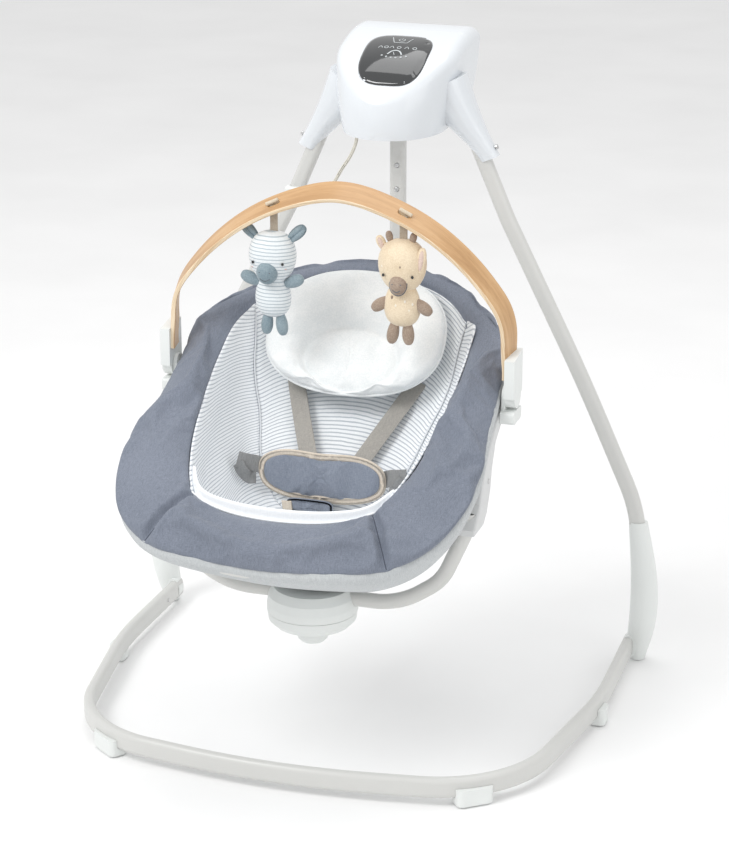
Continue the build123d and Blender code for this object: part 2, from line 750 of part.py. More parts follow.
with BuildLine(seat_plane.offset(-RING_DROP)) as ring_line:
    inset = [(u - 13 * u / math.hypot(u, v), v - 13 * v / math.hypot(u, v)) for u, v in RING_HALF]
    seat_loop(inset, RING_FOOT_V + 13, RING_HEAD_V - 13)
ring_path = ring_line.wire()
with BuildPart() as ring_tube:
    with BuildSketch(Plane(ring_path @ 0, z_dir=ring_path % 0)):
        Circle(RING_DIA / 2)
        Circle(RING_DIA / 2 - WALL, mode=Mode.SUBTRACT)
    sweep(path=ring_path)
save(ring_tube.part, "ring_tube")

COVER_IN_X, COVER_OUT_X = 195.0, 224.0
COVER_SIDE = [
    (-106, 327), (-90, 338), (-74, 363), (-66, 393), (-50, 421), (-18, 440), (4, 458),
    (26, 470), (26, 480), (-58, 439), (-84, 418), (-108, 392), (-122, 360), (-150, 335),
    (-150, 327),
]


def cover_form(grow):
    """Side cover that joins the hoop to the seat ring, seen along X."""
    with BuildPart() as form:
        side = Plane(origin=(COVER_IN_X - grow, 0, 0), x_dir=(0, 1, 0), z_dir=(1, 0, 0))
        with BuildSketch(side):
            with BuildLine():
                Polyline(*COVER_SIDE, close=True)
            make_face()
            if grow:
                offset(amount=grow)
        extrude(amount=COVER_OUT_X - COVER_IN_X + 2 * grow)
    return form.part


with BuildPart() as side_cover:
    add(cover_form(0))
    fillet(side_cover.faces().sort_by(Axis.X)[-1].edges(), 3)
    add(hoop_core, mode=Mode.SUBTRACT)
save(side_cover.part, "side_cover_right")
save(side_cover.part.mirror(Plane.YZ), "side_cover_left")
save(
    joined(
        dome_button((COVER_OUT_X + 0.05, -86, 380), (1, 0, 0), 3.5, 1.2),
        dome_button((-COVER_OUT_X - 0.05, -86, 380), (-1, 0, 0), 3.5, 1.2),
    ),
    "cover_screws",
)

# ---------------------------------------------------------------- seat fabric, plain solids
SLING_LEVELS = [
    # drop below the seat plane, widening, foot end, head end
    (26.5, 0.955, -219, 327),
    (52, 0.93, -220, 300),
    (95, 0.82, -190, 238),
    (145, 0.62, -140, 118),
    (180, 0.36, -88, 32),
    (190, 0.2, -60, 0),
]
LINER_OUT = [
    (9, 0.79, -200, 306),
    (52, 0.79, -208, 284),
    (95, 0.73, -179, 222),
    (140, 0.56, -130, 110),
    (172, 0.27, -76, 20),
]
LINER_IN = [
    (9, 1.0, -145, 312),
    (54, 0.92, -140, 225),
    (82, 0.80, -120, 165),
    (104, 0.68, -94, 84),
    (128, 0.48, -62, 26),
    (142, 0.25, -44, -6),
]
FABRIC = 4.0


def bowl(levels, half, foot, head, inset=0.0, rise=0.0):
    """Dished solid lofted through seat outlines at several drops."""
    with BuildPart() as dish:
        for drop, widen, low, high in levels:
            depth = drop - (inset if drop != levels[0][0] else -rise)
            narrow = widen - inset / 236
            with BuildSketch(seat_plane.offset(-depth)):
                with BuildLine():
                    seat_loop(half, foot, head, narrow, (low + inset, high - inset))
                make_face()
        loft()
    return dish.part


with BuildPart() as seat_sling:
    add(bowl(SLING_LEVELS, RING_HALF, RING_FOOT_V, RING_HEAD_V))
    add(bowl(SLING_LEVELS, RING_HALF, RING_FOOT_V, RING_HEAD_V, FABRIC, -1.0), mode=Mode.SUBTRACT)
    for cover in (cover_form(0.6), cover_form(0.6).mirror(Plane.YZ)):
        add(cover, mode=Mode.SUBTRACT)
    add(round_tube(hoop_path, HOOP_DIA + 1.2), mode=Mode.SUBTRACT)
save(seat_sling.part.solids().sort_by(SortBy.VOLUME)[-1], "seat_sling")

with BuildPart() as seat_liner:
    add(bowl(LINER_OUT, RING_HALF, RING_FOOT_V, RING_HEAD_V))
    add(bowl(LINER_IN, MOUTH_HALF, MOUTH_FOOT_V, MOUTH_HEAD_V, 0, -1.0), mode=Mode.SUBTRACT)
save(seat_liner.part, "seat_liner")

with BuildPart() as ring_pad:
    with BuildSketch(seat_plane.offset(PAD_BOTTOM)):
        with BuildLine():
            seat_loop(RING_HALF, RING_FOOT_V, RING_HEAD_V)
        make_face()
        with BuildLine():
            seat_loop(MOUTH_HALF, MOUTH_FOOT_V, MOUTH_HEAD_V)
        make_face(mode=Mode.SUBTRACT)
    extrude(amount=PAD_TOP - PAD_BOTTOM)
    tops = ring_pad.faces().sort_by(Axis((0, 0, 0), seat_plane.z_dir))
    fillet(tops[-1].edges(), 15)
save(ring_pad.part, "ring_pad")

INSERT_TILT, INSERT_Y, INSERT_Z = 49.4, 46.0, 520.0
INSERT_HALF_X, INSERT_HALF_V, INSERT_THICK = 121.0, 94.0, 32.0
insert_plane = Plane(
    origin=(0, INSERT_Y, INSERT_Z),
    x_dir=(1, 0, 0),
    z_dir=(0, -math.sin(math.radians(INSERT_TILT)), math.cos(math.radians(INSERT_TILT))),
)
with BuildPart() as head_insert:
    with BuildSketch(insert_plane.offset(-INSERT_THICK)):
        Ellipse(INSERT_HALF_X, INSERT_HALF_V)
    extrude(amount=INSERT_THICK)
    fillet(head_insert.edges(), 12)
save(head_insert.part, "head_insert")

# ---------------------------------------------------------------- harness
LAP_Y, LAP_Z, LAP_THICK = -83.0, 358.0, 9.0
lap_plane = Plane(origin=(0, LAP_Y - LAP_THICK / 2, LAP_Z), x_dir=(1, 0, 0), z_dir=(0, 1, 0))
with BuildPart() as lap_pad:
    with BuildSketch(lap_plane):
        RectangleRounded(170, 70, 33)
    extrude(amount=LAP_THICK)
    fillet(lap_pad.faces().sort_by(Axis.Y)[0].edges(), 3)
save(lap_pad.part, "lap_pad")


def webbing(start, end, across, wide, thick=1.8):
    """Straight run of harness webbing between two points."""
    run = Vector(end) - Vector(start)
    with BuildPart() as strip:
        with BuildSketch(Plane(origin=start, x_dir=across, z_dir=run.normalized())):
            Rectangle(wide, thick)
        extrude(amount=run.length)
    return strip.part


WEBBING = 25.0
SHOULDER_TOP, SHOULDER_LOW = (80, 56, 456), (26, -46, 366)
WAIST_OUT, WAIST_IN = (116, -92, 376), (80, -73, 362)
save(
    joined(*[
        webbing((side * SHOULDER_TOP[0], *SHOULDER_TOP[1:]),
                (side * SHOULDER_LOW[0], *SHOULDER_LOW[1:]), (1, side * 0.35, 0), WEBBING)
        for side in (1, -1)
    ]),
    "shoulder_straps",
)
save(
    joined(*[
        webbing((side * WAIST_OUT[0], *WAIST_OUT[1:]),
                (side * WAIST_IN[0], *WAIST_IN[1:]), (0, 0, 1), WEBBING)
        for side in (1, -1)
    ]),
    "waist_straps",
)
save(webbing((0, -140, 308), (0, -92, 318), (1, 0, 0), WEBBING), "crotch_strap")

with BuildPart() as harness_buckle:
    with Locations((0, -68, 350)):
        Box(44, 13, 40)
        fillet(harness_buckle.edges().filter_by(Axis.Y), 8)
    with Locations((0, -73, 350)):
        Cylinder(9.4, 20, rotation=(90, 0, 0), mode=Mode.SUBTRACT)
with BuildPart() as buckle_floor:
    with Locations((0, -62.5, 350)):
        Cylinder(9.4, 2, rotation=(90, 0, 0))
with BuildPart() as buckle_shell:
    add(harness_buckle)
    add(buckle_floor)
save(buckle_shell.part, "harness_buckle")
with BuildPart() as buckle_button:
    with Locations((0, -70.5, 350)):
        Cylinder(9.0, 9, rotation=(90, 0, 0))
    fillet(buckle_button.faces().sort_by(Axis.Y)[0].edges(), 1.5)
save(buckle_button.part, "buckle_button")

# ---------------------------------------------------------------- toy bar
PIN_R, SOCKET_R = 4.0, 17.0
CHEEK_THICK = 5.0
SOCKET_IN_X = CLIP_IN_X + CHEEK_THICK + 0.4
SOCKET_TOP_Z = 530.0


def upright(points, x, thick, closed=True):
    """Plate with its outline in the YZ plane, thickened along X."""
    with BuildPart() as plate:
        with BuildSketch(Plane(origin=(x, 0, 0), x_dir=(0, 1, 0), z_dir=(1, 0, 0))):
            with BuildLine():
                Polyline(*points, close=closed)
            make_face()
        extrude(amount=thick)
    return plate.part


with BuildPart() as clip_base:
    add(upright([(-36, 440), (4, 440), (4, 457), (-36, 457)], CLIP_IN_X,
                CLIP_OUT_X - CLIP_IN_X))
    fillet(clip_base.edges().filter_by(Axis.X), 5)
    with BuildSketch(Plane(origin=(CLIP_IN_X, 0, 0), x_dir=(0, 1, 0), z_dir=(1, 0, 0))):
        with Locations((CLIP_Y, CLIP_HINGE_Z)):
            Circle(12)
        with Locations((CLIP_Y, CLIP_HINGE_Z - 14)):
            Rectangle(24, 28)
    extrude(amount=CHEEK_THICK)
    with BuildSketch(Plane(origin=(CLIP_IN_X, 0, 0), x_dir=(0, 1, 0), z_dir=(1, 0, 0))):
        with Locations((CLIP_Y, CLIP_HINGE_Z)):
            Circle(PIN_R)
    extrude(amount=CHEEK_THICK + 9)
save(clip_base.part, "bar_clip_right")
save(clip_base.part.mirror(Plane.YZ), "bar_clip_left")

arch_points = [(-x, z) for x, z in BAR_HALF] + [(0, BAR_TOP_Z)] + BAR_HALF[::-1]
with BuildLine(Plane.XZ) as arch_line:
    Spline(*arch_points)
arch = arch_line.edge()


def bar_station(place):
    """Plane across the bar: its x axis runs along the band's width, to the front."""
    point, run = arch @ place, arch % place
    out = Vector(-run.Z, 0, run.X)
    lift = (point.Z - BAR_HALF[0][1]) / (BAR_TOP_Z - BAR_HALF[0][1])
    lean = math.radians(BAR_END_TILT + (BAR_TOP_TILT - BAR_END_TILT) * lift)
    along = Vector(0, -math.cos(lean), 0) - out * math.sin(lean)
    face = out * math.cos(lean) + Vector(0, -math.sin(lean), 0)
    centre = Vector(point.X, BAR_REAR_Y, point.Z) + along * (BAR_WIDE / 2)
    return Plane(origin=centre - face * (BAR_THICK / 2), x_dir=along, z_dir=run)


BAR_STATIONS = 25
with BuildPart() as toy_bar:
    for step in range(BAR_STATIONS):
        with BuildSketch(bar_station(step / (BAR_STATIONS - 1))):
            RectangleRounded(BAR_WIDE, BAR_THICK, 1.2)
    loft()
    with BuildSketch(Plane.XY.offset(TOY_STRAP_TOP_Z - 40)):
        with Locations((SLOT_X, SLOT_Y), (-SLOT_X, SLOT_Y)):
            SlotOverall(16, 6)
    extrude(amount=80, mode=Mode.SUBTRACT)
bar_core = toy_bar.part
save(bar_core, "toy_bar")

with BuildPart() as bar_socket:
    add(upright([(-38, CLIP_HINGE_Z), (6, CLIP_HINGE_Z), (6, SOCKET_TOP_Z + 3),
                 (-38, SOCKET_TOP_Z - 3)], SOCKET_IN_X, CLIP_OUT_X - SOCKET_IN_X))
    with BuildSketch(Plane(origin=(SOCKET_IN_X, 0, 0), x_dir=(0, 1, 0), z_dir=(1, 0, 0))):
        with Locations((CLIP_Y, CLIP_HINGE_Z)):
            Circle(SOCKET_R)
    extrude(amount=CLIP_OUT_X - SOCKET_IN_X)
    with BuildSketch(Plane(origin=(SOCKET_IN_X, 0, 0), x_dir=(0, 1, 0), z_dir=(1, 0, 0))):
        with Locations((CLIP_Y, CLIP_HINGE_Z)):
            Circle(PIN_R + RUNNING_FIT)
    extrude(amount=9.5, mode=Mode.SUBTRACT)
    add(bar_core, mode=Mode.SUBTRACT)
save(bar_socket.part, "bar_socket_right")
save(bar_socket.part.mirror(Plane.YZ), "bar_socket_left")

# ---------------------------------------------------------------- toys
STRAP_WIDE, STRAP_THICK = 11.0, 1.6
TOY_OUTLINE = [
    # radius, height below the top of the head
    (14, -3), (26, -14), (31, -32), (27, -47), (17, -57), (21, -70), (24, -88), (20, -106),
    (17, -122), (12, -137),
]
TOY_LONG = 146.0
TOY_HEAD_Z = 667.0
TOY_HINGE_Z = 701.2
TOY_HEM_R = 1.2


def toy(side):
    """Soft toy of one body, with the strap that goes up through its slot."""
    centre = (side * SLOT_X, SLOT_Y)
    with BuildPart() as doll:
        plane = Plane(origin=(*centre, TOY_HEAD_Z), x_dir=(1, 0, 0), z_dir=(0, -1, 0))
        with BuildSketch(plane):
            with BuildLine():
                curve = Spline((0, 0), *TOY_OUTLINE, (0, -TOY_LONG))
                Line(curve @ 1, curve @ 0)
            make_face()
        revolve(axis=Axis((*centre, 0), (0, 0, 1)))
        with BuildSketch(Plane.XY.offset(TOY_HEAD_Z - 6)):
            with Locations(centre):
                Rectangle(STRAP_WIDE, STRAP_THICK)
        extrude(amount=TOY_HINGE_Z - TOY_HEAD_Z + 6)
        with Locations((*centre, TOY_HINGE_Z)):
            Cylinder(TOY_HEM_R, STRAP_WIDE, rotation=(0, 90, 0))
    return doll.part


save(toy(-1), "zebra_toy")
save(toy(1), "giraffe_toy")

TOGGLE_LONG, TOGGLE_R = 20.0, 2.2
toggles = []
for side in (1, -1):
    station = min(
        (bar_station(step / 400) for step in range(401)),
        key=lambda plane: abs(plane.origin.X - side * SLOT_X),
    )
    top = station.origin + Vector(station.y_dir) * math.copysign(
        BAR_THICK / 2 + TOGGLE_R + 0.1, station.y_dir.Z
    )
    run = Vector(station.z_dir)
    with BuildPart() as toggle:
        with BuildSketch(Plane(origin=top - run * (TOGGLE_LONG / 2), z_dir=run)):
            Circle(TOGGLE_R)
        extrude(amount=TOGGLE_LONG)
        fillet(toggle.edges().filter_by(GeomType.CIRCLE), 1.5)
    toggles.append(toggle.part)
    print("toggle", side, top)
save(joined(*toggles), "toy_toggles")

# ---------------------------------------------------------------- screws of the housing
save(joined(*socket_screws(3.4, 3.0)), "socket_screws")
save(joined(*rear_screws(3.5, 1.2)), "rear_screws")
print("parts written", len(os.listdir("parts")))
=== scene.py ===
"""Looks of the cradle swing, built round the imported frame.  Metres, +Z up, -Y front."""
import json
import math
from types import SimpleNamespace

import bpy
import numpy as np
from mathutils import Matrix, Vector
from mathutils.bvhtree import BVHTree


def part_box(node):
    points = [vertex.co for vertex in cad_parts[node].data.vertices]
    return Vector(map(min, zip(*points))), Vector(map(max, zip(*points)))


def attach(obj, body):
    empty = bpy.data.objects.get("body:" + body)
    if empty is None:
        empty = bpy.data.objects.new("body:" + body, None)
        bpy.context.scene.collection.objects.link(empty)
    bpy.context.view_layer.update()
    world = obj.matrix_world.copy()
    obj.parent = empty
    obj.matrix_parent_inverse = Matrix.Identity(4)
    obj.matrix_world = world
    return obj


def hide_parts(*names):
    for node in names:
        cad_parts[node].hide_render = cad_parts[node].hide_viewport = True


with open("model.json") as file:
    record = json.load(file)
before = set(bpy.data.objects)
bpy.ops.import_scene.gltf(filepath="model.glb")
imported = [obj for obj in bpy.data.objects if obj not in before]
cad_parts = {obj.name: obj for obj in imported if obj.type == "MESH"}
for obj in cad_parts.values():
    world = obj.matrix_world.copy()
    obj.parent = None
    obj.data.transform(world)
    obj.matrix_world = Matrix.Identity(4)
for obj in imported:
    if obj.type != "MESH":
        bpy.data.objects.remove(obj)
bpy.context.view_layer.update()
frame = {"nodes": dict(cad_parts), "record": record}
nodes = frame["nodes"]
MM = 0.001

# ---------------------------------------------------------------- camera and light
CAMERA_PLACE = (1.0128, -3.1201, 1.5524)
CAMERA_AIM = (-0.2834, 0.9001, -0.3307)
FOCAL_IN_FRAME_HEIGHTS = 3.0628
SENSOR = 36.0
SKY_STRENGTH = 0.78
FLOOR_SIZE = 60
LIGHTS = {
    # place, aim, size, watts
    "key": ((-1.5, -2.0, 2.9), (0, 0, 0.4), (1.4, 1.4), 52),
    "fill": ((2.6, -1.4, 1.6), (0, 0, 0.4), (2.0, 2.0), 10),
    "top": ((0.2, 0.6, 3.2), (0, 0, 0.5), (2.2, 1.8), 22),
}


def add_camera():
    data = bpy.data.cameras.new("camera")
    data.sensor_width = SENSOR
    data.lens = FOCAL_IN_FRAME_HEIGHTS * SENSOR
    camera = bpy.data.objects.new("camera", data)
    bpy.context.scene.collection.objects.link(camera)
    turn = Vector(CAMERA_AIM).to_track_quat("-Z", "Y").to_matrix().to_4x4()
    camera.matrix_world = Matrix.Translation(CAMERA_PLACE) @ turn
    bpy.context.scene.camera = camera


def add_light(name, place, aim, size, power):
    data = bpy.data.lights.new(name, "AREA")
    data.shape = "RECTANGLE"
    data.size, data.size_y = size
    data.energy = power
    light = bpy.data.objects.new(name, data)
    bpy.context.scene.collection.objects.link(light)
    turn = (Vector(aim) - Vector(place)).to_track_quat("-Z", "Y").to_matrix().to_4x4()
    light.matrix_world = Matrix.Translation(place) @ turn


def add_studio():
    world = bpy.data.worlds.new("studio")
    bpy.context.scene.world = world
    world.use_nodes = True
    sky = world.node_tree.nodes["Background"]
    sky.inputs["Color"].default_value = (1, 1, 1, 1)
    sky.inputs["Strength"].default_value = SKY_STRENGTH
    for name, settings in LIGHTS.items():
        add_light(name, *settings)
    bpy.context.scene.view_settings.view_transform = "Standard"
    bpy.ops.mesh.primitive_plane_add(size=FLOOR_SIZE, location=(0, 0, -0.001))
    floor = bpy.context.object
    floor.name = "floor"
    surface = Surface("floor_paint")
    tint(surface, (0.93, 0.93, 0.93), 0.02, 3.0)
    surface.shader.inputs["Roughness"].default_value = 0.9
    floor.data.materials.append(surface.mat)


# ---------------------------------------------------------------- material kit
class Surface:
    """A Principled material with short calls for the nodes that every finish uses."""

    def __init__(self, name):
        self.mat = bpy.data.materials.new(name)
        self.mat.use_nodes = True
        self.tree = self.mat.node_tree
        self.shader = self.tree.nodes["Principled BSDF"]
        self.place = self.node("ShaderNodeTexCoord").outputs["Object"]

    def node(self, kind, **settings):
        made = self.tree.nodes.new(kind)
        for key, value in settings.items():
            setattr(made, key, value)
        return made

    def link(self, out, into):
        self.tree.links.new(out, into)

    def stretched(self, scale):
        mapping = self.node("ShaderNodeMapping")
        mapping.inputs["Scale"].default_value = scale
        self.link(self.place, mapping.inputs["Vector"])
        return mapping.outputs["Vector"]

    def noise(self, scale, detail=3.0, stretch=None):
        made = self.node("ShaderNodeTexNoise")
        made.inputs["Scale"].default_value = scale
        made.inputs["Detail"].default_value = detail
        self.link(self.stretched(stretch) if stretch else self.place, made.inputs["Vector"])
        return made.outputs["Fac"]

    def ramp(self, fac, stops):
        made = self.node("ShaderNodeValToRGB")
        while len(made.color_ramp.elements) < len(stops):
            made.color_ramp.elements.new(0.5)
        for element, (place, colour) in zip(made.color_ramp.elements, stops):
            element.position = place
            element.color = (*colour, 1)
        self.link(fac, made.inputs["Fac"])
        return made.outputs["Color"]

    def feed(self, value, socket):
        """Link an output into the socket, or set a plain value or colour."""
        if hasattr(value, "is_linked"):
            self.link(value, socket)
        else:
            socket.default_value = (*value, 1) if isinstance(value, tuple) else value

    def mix(self, fac, first, second, blend="MIX"):
        made = self.node("ShaderNodeMix", data_type="RGBA", blend_type=blend)
        for value, socket in ((fac, 0), (first, 6), (second, 7)):
            self.feed(value, made.inputs[socket])
        return made.outputs[2]

    def math(self, operation, first, second=0.0):
        made = self.node("ShaderNodeMath", operation=operation)
        self.feed(first, made.inputs[0])
        self.feed(second, made.inputs[1])
        return made.outputs[0]

    def weigh(self, first, share, second, other_share):
        """Sum of two values, each times its share."""
        return self.math("ADD", self.math("MULTIPLY", first, share),
                         self.math("MULTIPLY", second, other_share))

    def attribute(self, name, output="Fac"):
        return self.node("ShaderNodeAttribute", attribute_name=name).outputs[output]

    def bump(self, height, strength, distance):
        made = self.node("ShaderNodeBump")
        made.inputs["Strength"].default_value = strength
        made.inputs["Distance"].default_value = distance
        self.link(height, made.inputs["Height"])
        self.link(made.outputs["Normal"], self.shader.inputs["Normal"])

    def rough(self, fac, low, high):
        made = self.node("ShaderNodeMapRange")
        made.inputs["To Min"].default_value = low
        made.inputs["To Max"].default_value = high
        self.link(fac, made.inputs["Value"])
        self.link(made.outputs["Result"], self.shader.inputs["Roughness"])

    def set(self, **values):
        for key, value in values.items():
            self.shader.inputs[key.replace("_", " ")].default_value = value
        return self

    def paint(self, colour):
        self.link(colour, self.shader.inputs["Base Color"])


def shade(colour, factor):
    return tuple(min(1.0, channel * factor) for channel in colour)


def tint(surface, colour, spread, scale):
    """Base colour with slight cloudy variation."""
    stops = [(0.3, shade(colour, 1 - spread)), (0.7, shade(colour, 1 + spread))]
    surface.paint(surface.ramp(surface.noise(scale), stops))


def plastic(name, colour, low, high, coat=0.0, grain=0.05):
    """Moulded plastic: faint mould clouding, fine grain, uneven gloss."""
    surface = Surface(name)
    tint(surface, colour, 0.015, 14)
    surface.rough(surface.noise(60), low, high)
    surface.bump(surface.noise(1400, 2), grain, 0.0004)
    return surface.set(Coat_Weight=coat, Coat_Roughness=0.06, Specular_IOR_Level=0.5).mat


def powder_coat(name, colour):
    """Satin powder coat with orange peel and a faint speckle."""
    surface = Surface(name)
    clouds = surface.ramp(surface.noise(9), [(0.3, shade(colour, 0.985)), (0.7, shade(colour, 1.01))])
    speck = surface.ramp(surface.noise(2600, 1), [(0.36, (0.93, 0.93, 0.93)), (0.5, (1, 1, 1))])
    surface.paint(surface.mix(0.5, clouds, speck, "MULTIPLY"))
    surface.rough(surface.noise(120), 0.3, 0.42)
    surface.bump(surface.noise(700, 2), 0.12, 0.0004)
    return surface.set(Coat_Weight=0.15, Coat_Roughness=0.25).mat


def metal(name, colour, low, high):
    surface = Surface(name)
    tint(surface, colour, 0.06, 300)
    surface.rough(surface.noise(500, stretch=(1, 1, 0.1)), low, high)
    surface.bump(surface.noise(1800), 0.1, 0.0002)
    return surface.set(Metallic=1.0).mat


def woven(surface, dark, light, slub, depth):
    """Two crossing sets of yarn, with slubs along each, over a soft cloudy shade."""
    warp = surface.noise(1.0, 2, (slub * 16, slub, slub))
    weft = surface.noise(1.0, 2, (slub, slub * 16, slub * 16))
    yarns = surface.math("MULTIPLY", surface.math("ADD", warp, weft), 0.5)
    clouds = surface.noise(9, 2)
    blend = surface.weigh(yarns, 0.85, clouds, 0.15)
    colour = surface.ramp(blend, [(0.40, dark), (0.60, light)])
    surface.rough(yarns, 0.75, 0.92)
    surface.bump(yarns, 0.35, depth)
    return colour


def cloth(name, dark, light, slub=90, depth=0.0005, sheen=0.25):
    surface = Surface(name)
    surface.paint(woven(surface, dark, light, slub, depth))
    surface.set(Sheen_Weight=sheen, Sheen_Roughness=0.5, Specular_IOR_Level=0.2)
    return surface.mat


def striped_cloth(name, base, line, pitch, width, relief):
    """Knit with thin lines at a regular pitch along the piece's stripe attribute."""
    surface = Surface(name)
    along = surface.weigh(surface.attribute("stripe"), 1 / pitch, surface.noise(38), 0.6)
    wave = surface.math("FRACT", along)
    fold = surface.math("ABSOLUTE", surface.math("SUBTRACT", wave, 0.5))
    mask = surface.ramp(fold, [(width * 0.5, (1, 1, 1)), (width * 0.5 + 0.08, (0, 0, 0))])
    knit = woven(surface, shade(base, 0.95), shade(base, 1.04), 120, relief)
    surface.paint(surface.mix(mask, knit, line))
    surface.set(Sheen_Weight=0.2, Sheen_Roughness=0.5, Specular_IOR_Level=0.2)
    return surface.mat


def plush(name, dark, light, scale=420, depth=0.0009):
    """Short pile: fine clumps and a strong sheen."""
    surface = Surface(name)
    pile = surface.noise(scale, 4)
    clouds = surface.noise(40, 2)
    blend = surface.weigh(pile, 0.6, clouds, 0.4)
    surface.paint(surface.ramp(blend, [(0.38, dark), (0.62, light)]))
    surface.rough(pile, 0.85, 1.0)
    surface.bump(pile, 0.5, depth)
    return surface.set(Sheen_Weight=0.5, Sheen_Roughness=0.4, Specular_IOR_Level=0.1).mat


# ---------------------------------------------------------------- mesh kit
def build(name, points, faces, finish, body, slot, **attributes):
    """A smooth mesh piece in millimetre points of the row frame, riding on its body."""
    mesh = bpy.data.meshes.new(name)
    mesh.from_pydata([tuple(point * MM) for point in np.asarray(points, float)], [], faces)
    mesh.polygons.foreach_set("use_smooth", [True] * len(mesh.polygons))
    for key, values in attributes.items():
        layer = mesh.attributes.new(key, "FLOAT", "POINT")
        layer.data.foreach_set("value", np.asarray(values, np.float32))
    mesh.update()
    made = bpy.data.objects.new(name, mesh)
    bpy.context.scene.collection.objects.link(made)
    mesh.materials.append(finish)
    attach(made, body)
    return made


def grid_faces(rows, columns, wrap_rows=False, wrap_columns=False):
    faces = []
    for row in range(rows if wrap_rows else rows - 1):
        below = (row + 1) % rows
        for column in range(columns if wrap_columns else columns - 1):
            right = (column + 1) % columns
            faces.append((row * columns + column, row * columns + right,
                          below * columns + right, below * columns + column))
    return faces


def flipped(faces):
    return [face[::-1] for face in faces]


def closed_faces(rows, columns):
    """Faces of a wrapped grid that a front and a rear point close; the two follow the grid."""
    faces = flipped(grid_faces(rows, columns, wrap_columns=True))
    front, rear, last = rows * columns, rows * columns + 1, (rows - 1) * columns
    for column in range(columns):
        after = (column + 1) % columns
        faces += [(front, column, after), (rear, last + after, last + column)]
    return faces


def curve(points, count, closed=False):
    """Smooth line through the points, as evenly spaced points."""
    knots = np.asarray(points, float)
    if closed:
        knots = np.vstack([knots[-1], knots, knots[:2]])
    else:
        knots = np.vstack([2 * knots[0] - knots[1], knots, 2 * knots[-1] - knots[-2]])
    fine = []
    steps = np.linspace(0, 1, 32, endpoint=False)[:, None]
    for a, b, c, d in zip(knots, knots[1:], knots[2:], knots[3:]):
        fine.append(0.5 * (2 * b + (c - a) * steps + (2 * a - 5 * b + 4 * c - d) * steps ** 2
                           + (3 * b - a - 3 * c + d) * steps ** 3))
    fine = np.vstack(fine + [knots[-2][None]])
    run = np.concatenate([[0], np.cumsum(np.linalg.norm(np.diff(fine, axis=0), axis=1))])
    wanted = np.linspace(0, run[-1], count, endpoint=not closed)
    return np.column_stack([np.interp(wanted, run, axis) for axis in fine.T])


def unit(vectors):
    vectors = np.asarray(vectors, float)
    return vectors / np.linalg.norm(vectors, axis=-1, keepdims=True)


def full_turn(count):
    return np.linspace(0, 2 * math.pi, count, endpoint=False)


def squared(turns, power):
    """Cosine and sine of the turns, drawn out toward a square by a power below one."""
    return [np.sign(wave) * np.abs(wave) ** power for wave in (np.cos(turns), np.sin(turns))]


def coords(mesh):
    flat = np.zeros(len(mesh.vertices) * 3)
    mesh.vertices.foreach_get("co", flat)
    return flat.reshape(-1, 3)


def settle(piece):
    """The mesh becomes what its modifiers make of it."""
    graph = bpy.context.evaluated_depsgraph_get()
    mesh = bpy.data.meshes.new_from_object(piece.evaluated_get(graph), depsgraph=graph,
                                           preserve_all_data_layers=True)
    piece.modifiers.clear()
    piece.data = mesh


def subdivide(piece, levels=1):
    modifier = piece.modifiers.new("Subdivision", "SUBSURF")
    modifier.levels = modifier.render_levels = levels
    settle(piece)


def thicken(piece, amount, offset=-1.0):
    modifier = piece.modifiers.new("Solidify", "SOLIDIFY")
    modifier.thickness = amount * MM
    modifier.offset = offset
    settle(piece)


def surface_tree(piece):
    """Ray-cast tree of a piece that lies at rest in the row frame."""
    mesh = piece.data
    return BVHTree.FromPolygons([vertex.co.copy() for vertex in mesh.vertices],
                                [tuple(face.vertices) for face in mesh.polygons])


def landed(tree, start, way):
    """Where a millimetre point lands on the surface when it moves along way."""
    hit = tree.ray_cast(Vector(np.asarray(start, float) * MM), Vector(way))[0]
    return np.array(hit) / MM if hit else np.asarray(start, float)


CLOTH_FRAMES = 20


def inflate(piece, pins, pressure, spare, cap):
    """Cloth under inner pressure, held at its seams; spare is the extra cloth as a share,
    and cap the furthest that a point may move."""
    rest = coords(piece.data)
    group = piece.vertex_groups.new(name="seams")
    group.add([int(index) for index in pins], 1.0, "REPLACE")
    modifier = piece.modifiers.new("Cloth", "CLOTH")
    settings = modifier.settings
    settings.quality = 5
    settings.mass = 0.25
    settings.tension_stiffness = settings.compression_stiffness = 18
    settings.shear_stiffness = 6
    settings.bending_stiffness = 0.4
    settings.use_pressure = True
    settings.uniform_pressure_force = pressure
    settings.shrink_min = -spare
    settings.vertex_group_mass = group.name
    settings.effector_weights.gravity = 0
    modifier.collision_settings.use_collision = False
    modifier.point_cache.frame_start = 1
    modifier.point_cache.frame_end = CLOTH_FRAMES
    for number in range(1, CLOTH_FRAMES + 1):
        bpy.context.scene.frame_set(number)
    graph = bpy.context.evaluated_depsgraph_get()
    moved = coords(piece.evaluated_get(graph).data)
    piece.modifiers.remove(modifier)
    shift = moved - rest
    length = np.linalg.norm(shift, axis=1, keepdims=True) + 1e-9
    result = rest + shift * np.minimum(1.0, cap * MM / length)
    piece.data.vertices.foreach_set("co", result.ravel())
    piece.data.update()
    bpy.context.scene.frame_set(1)


def section_sweep(name, centres, across, out, section, finish, body, slot, closed=False):
    """A closed section of (along across, along out) points carried along a line of centres."""
    rows = []
    for centre, side, normal in zip(centres, across, out):
        rows.append([centre + side * a + normal * b for a, b in section])
    count, around = len(rows), len(section)
    faces = grid_faces(count, around, wrap_rows=closed, wrap_columns=True)
    points = np.array(rows).reshape(-1, 3)
    if not closed:
        faces += [tuple(range(around))[::-1], tuple((count - 1) * around + k for k in range(around))]
    return build(name, points, faces, finish, body, slot)


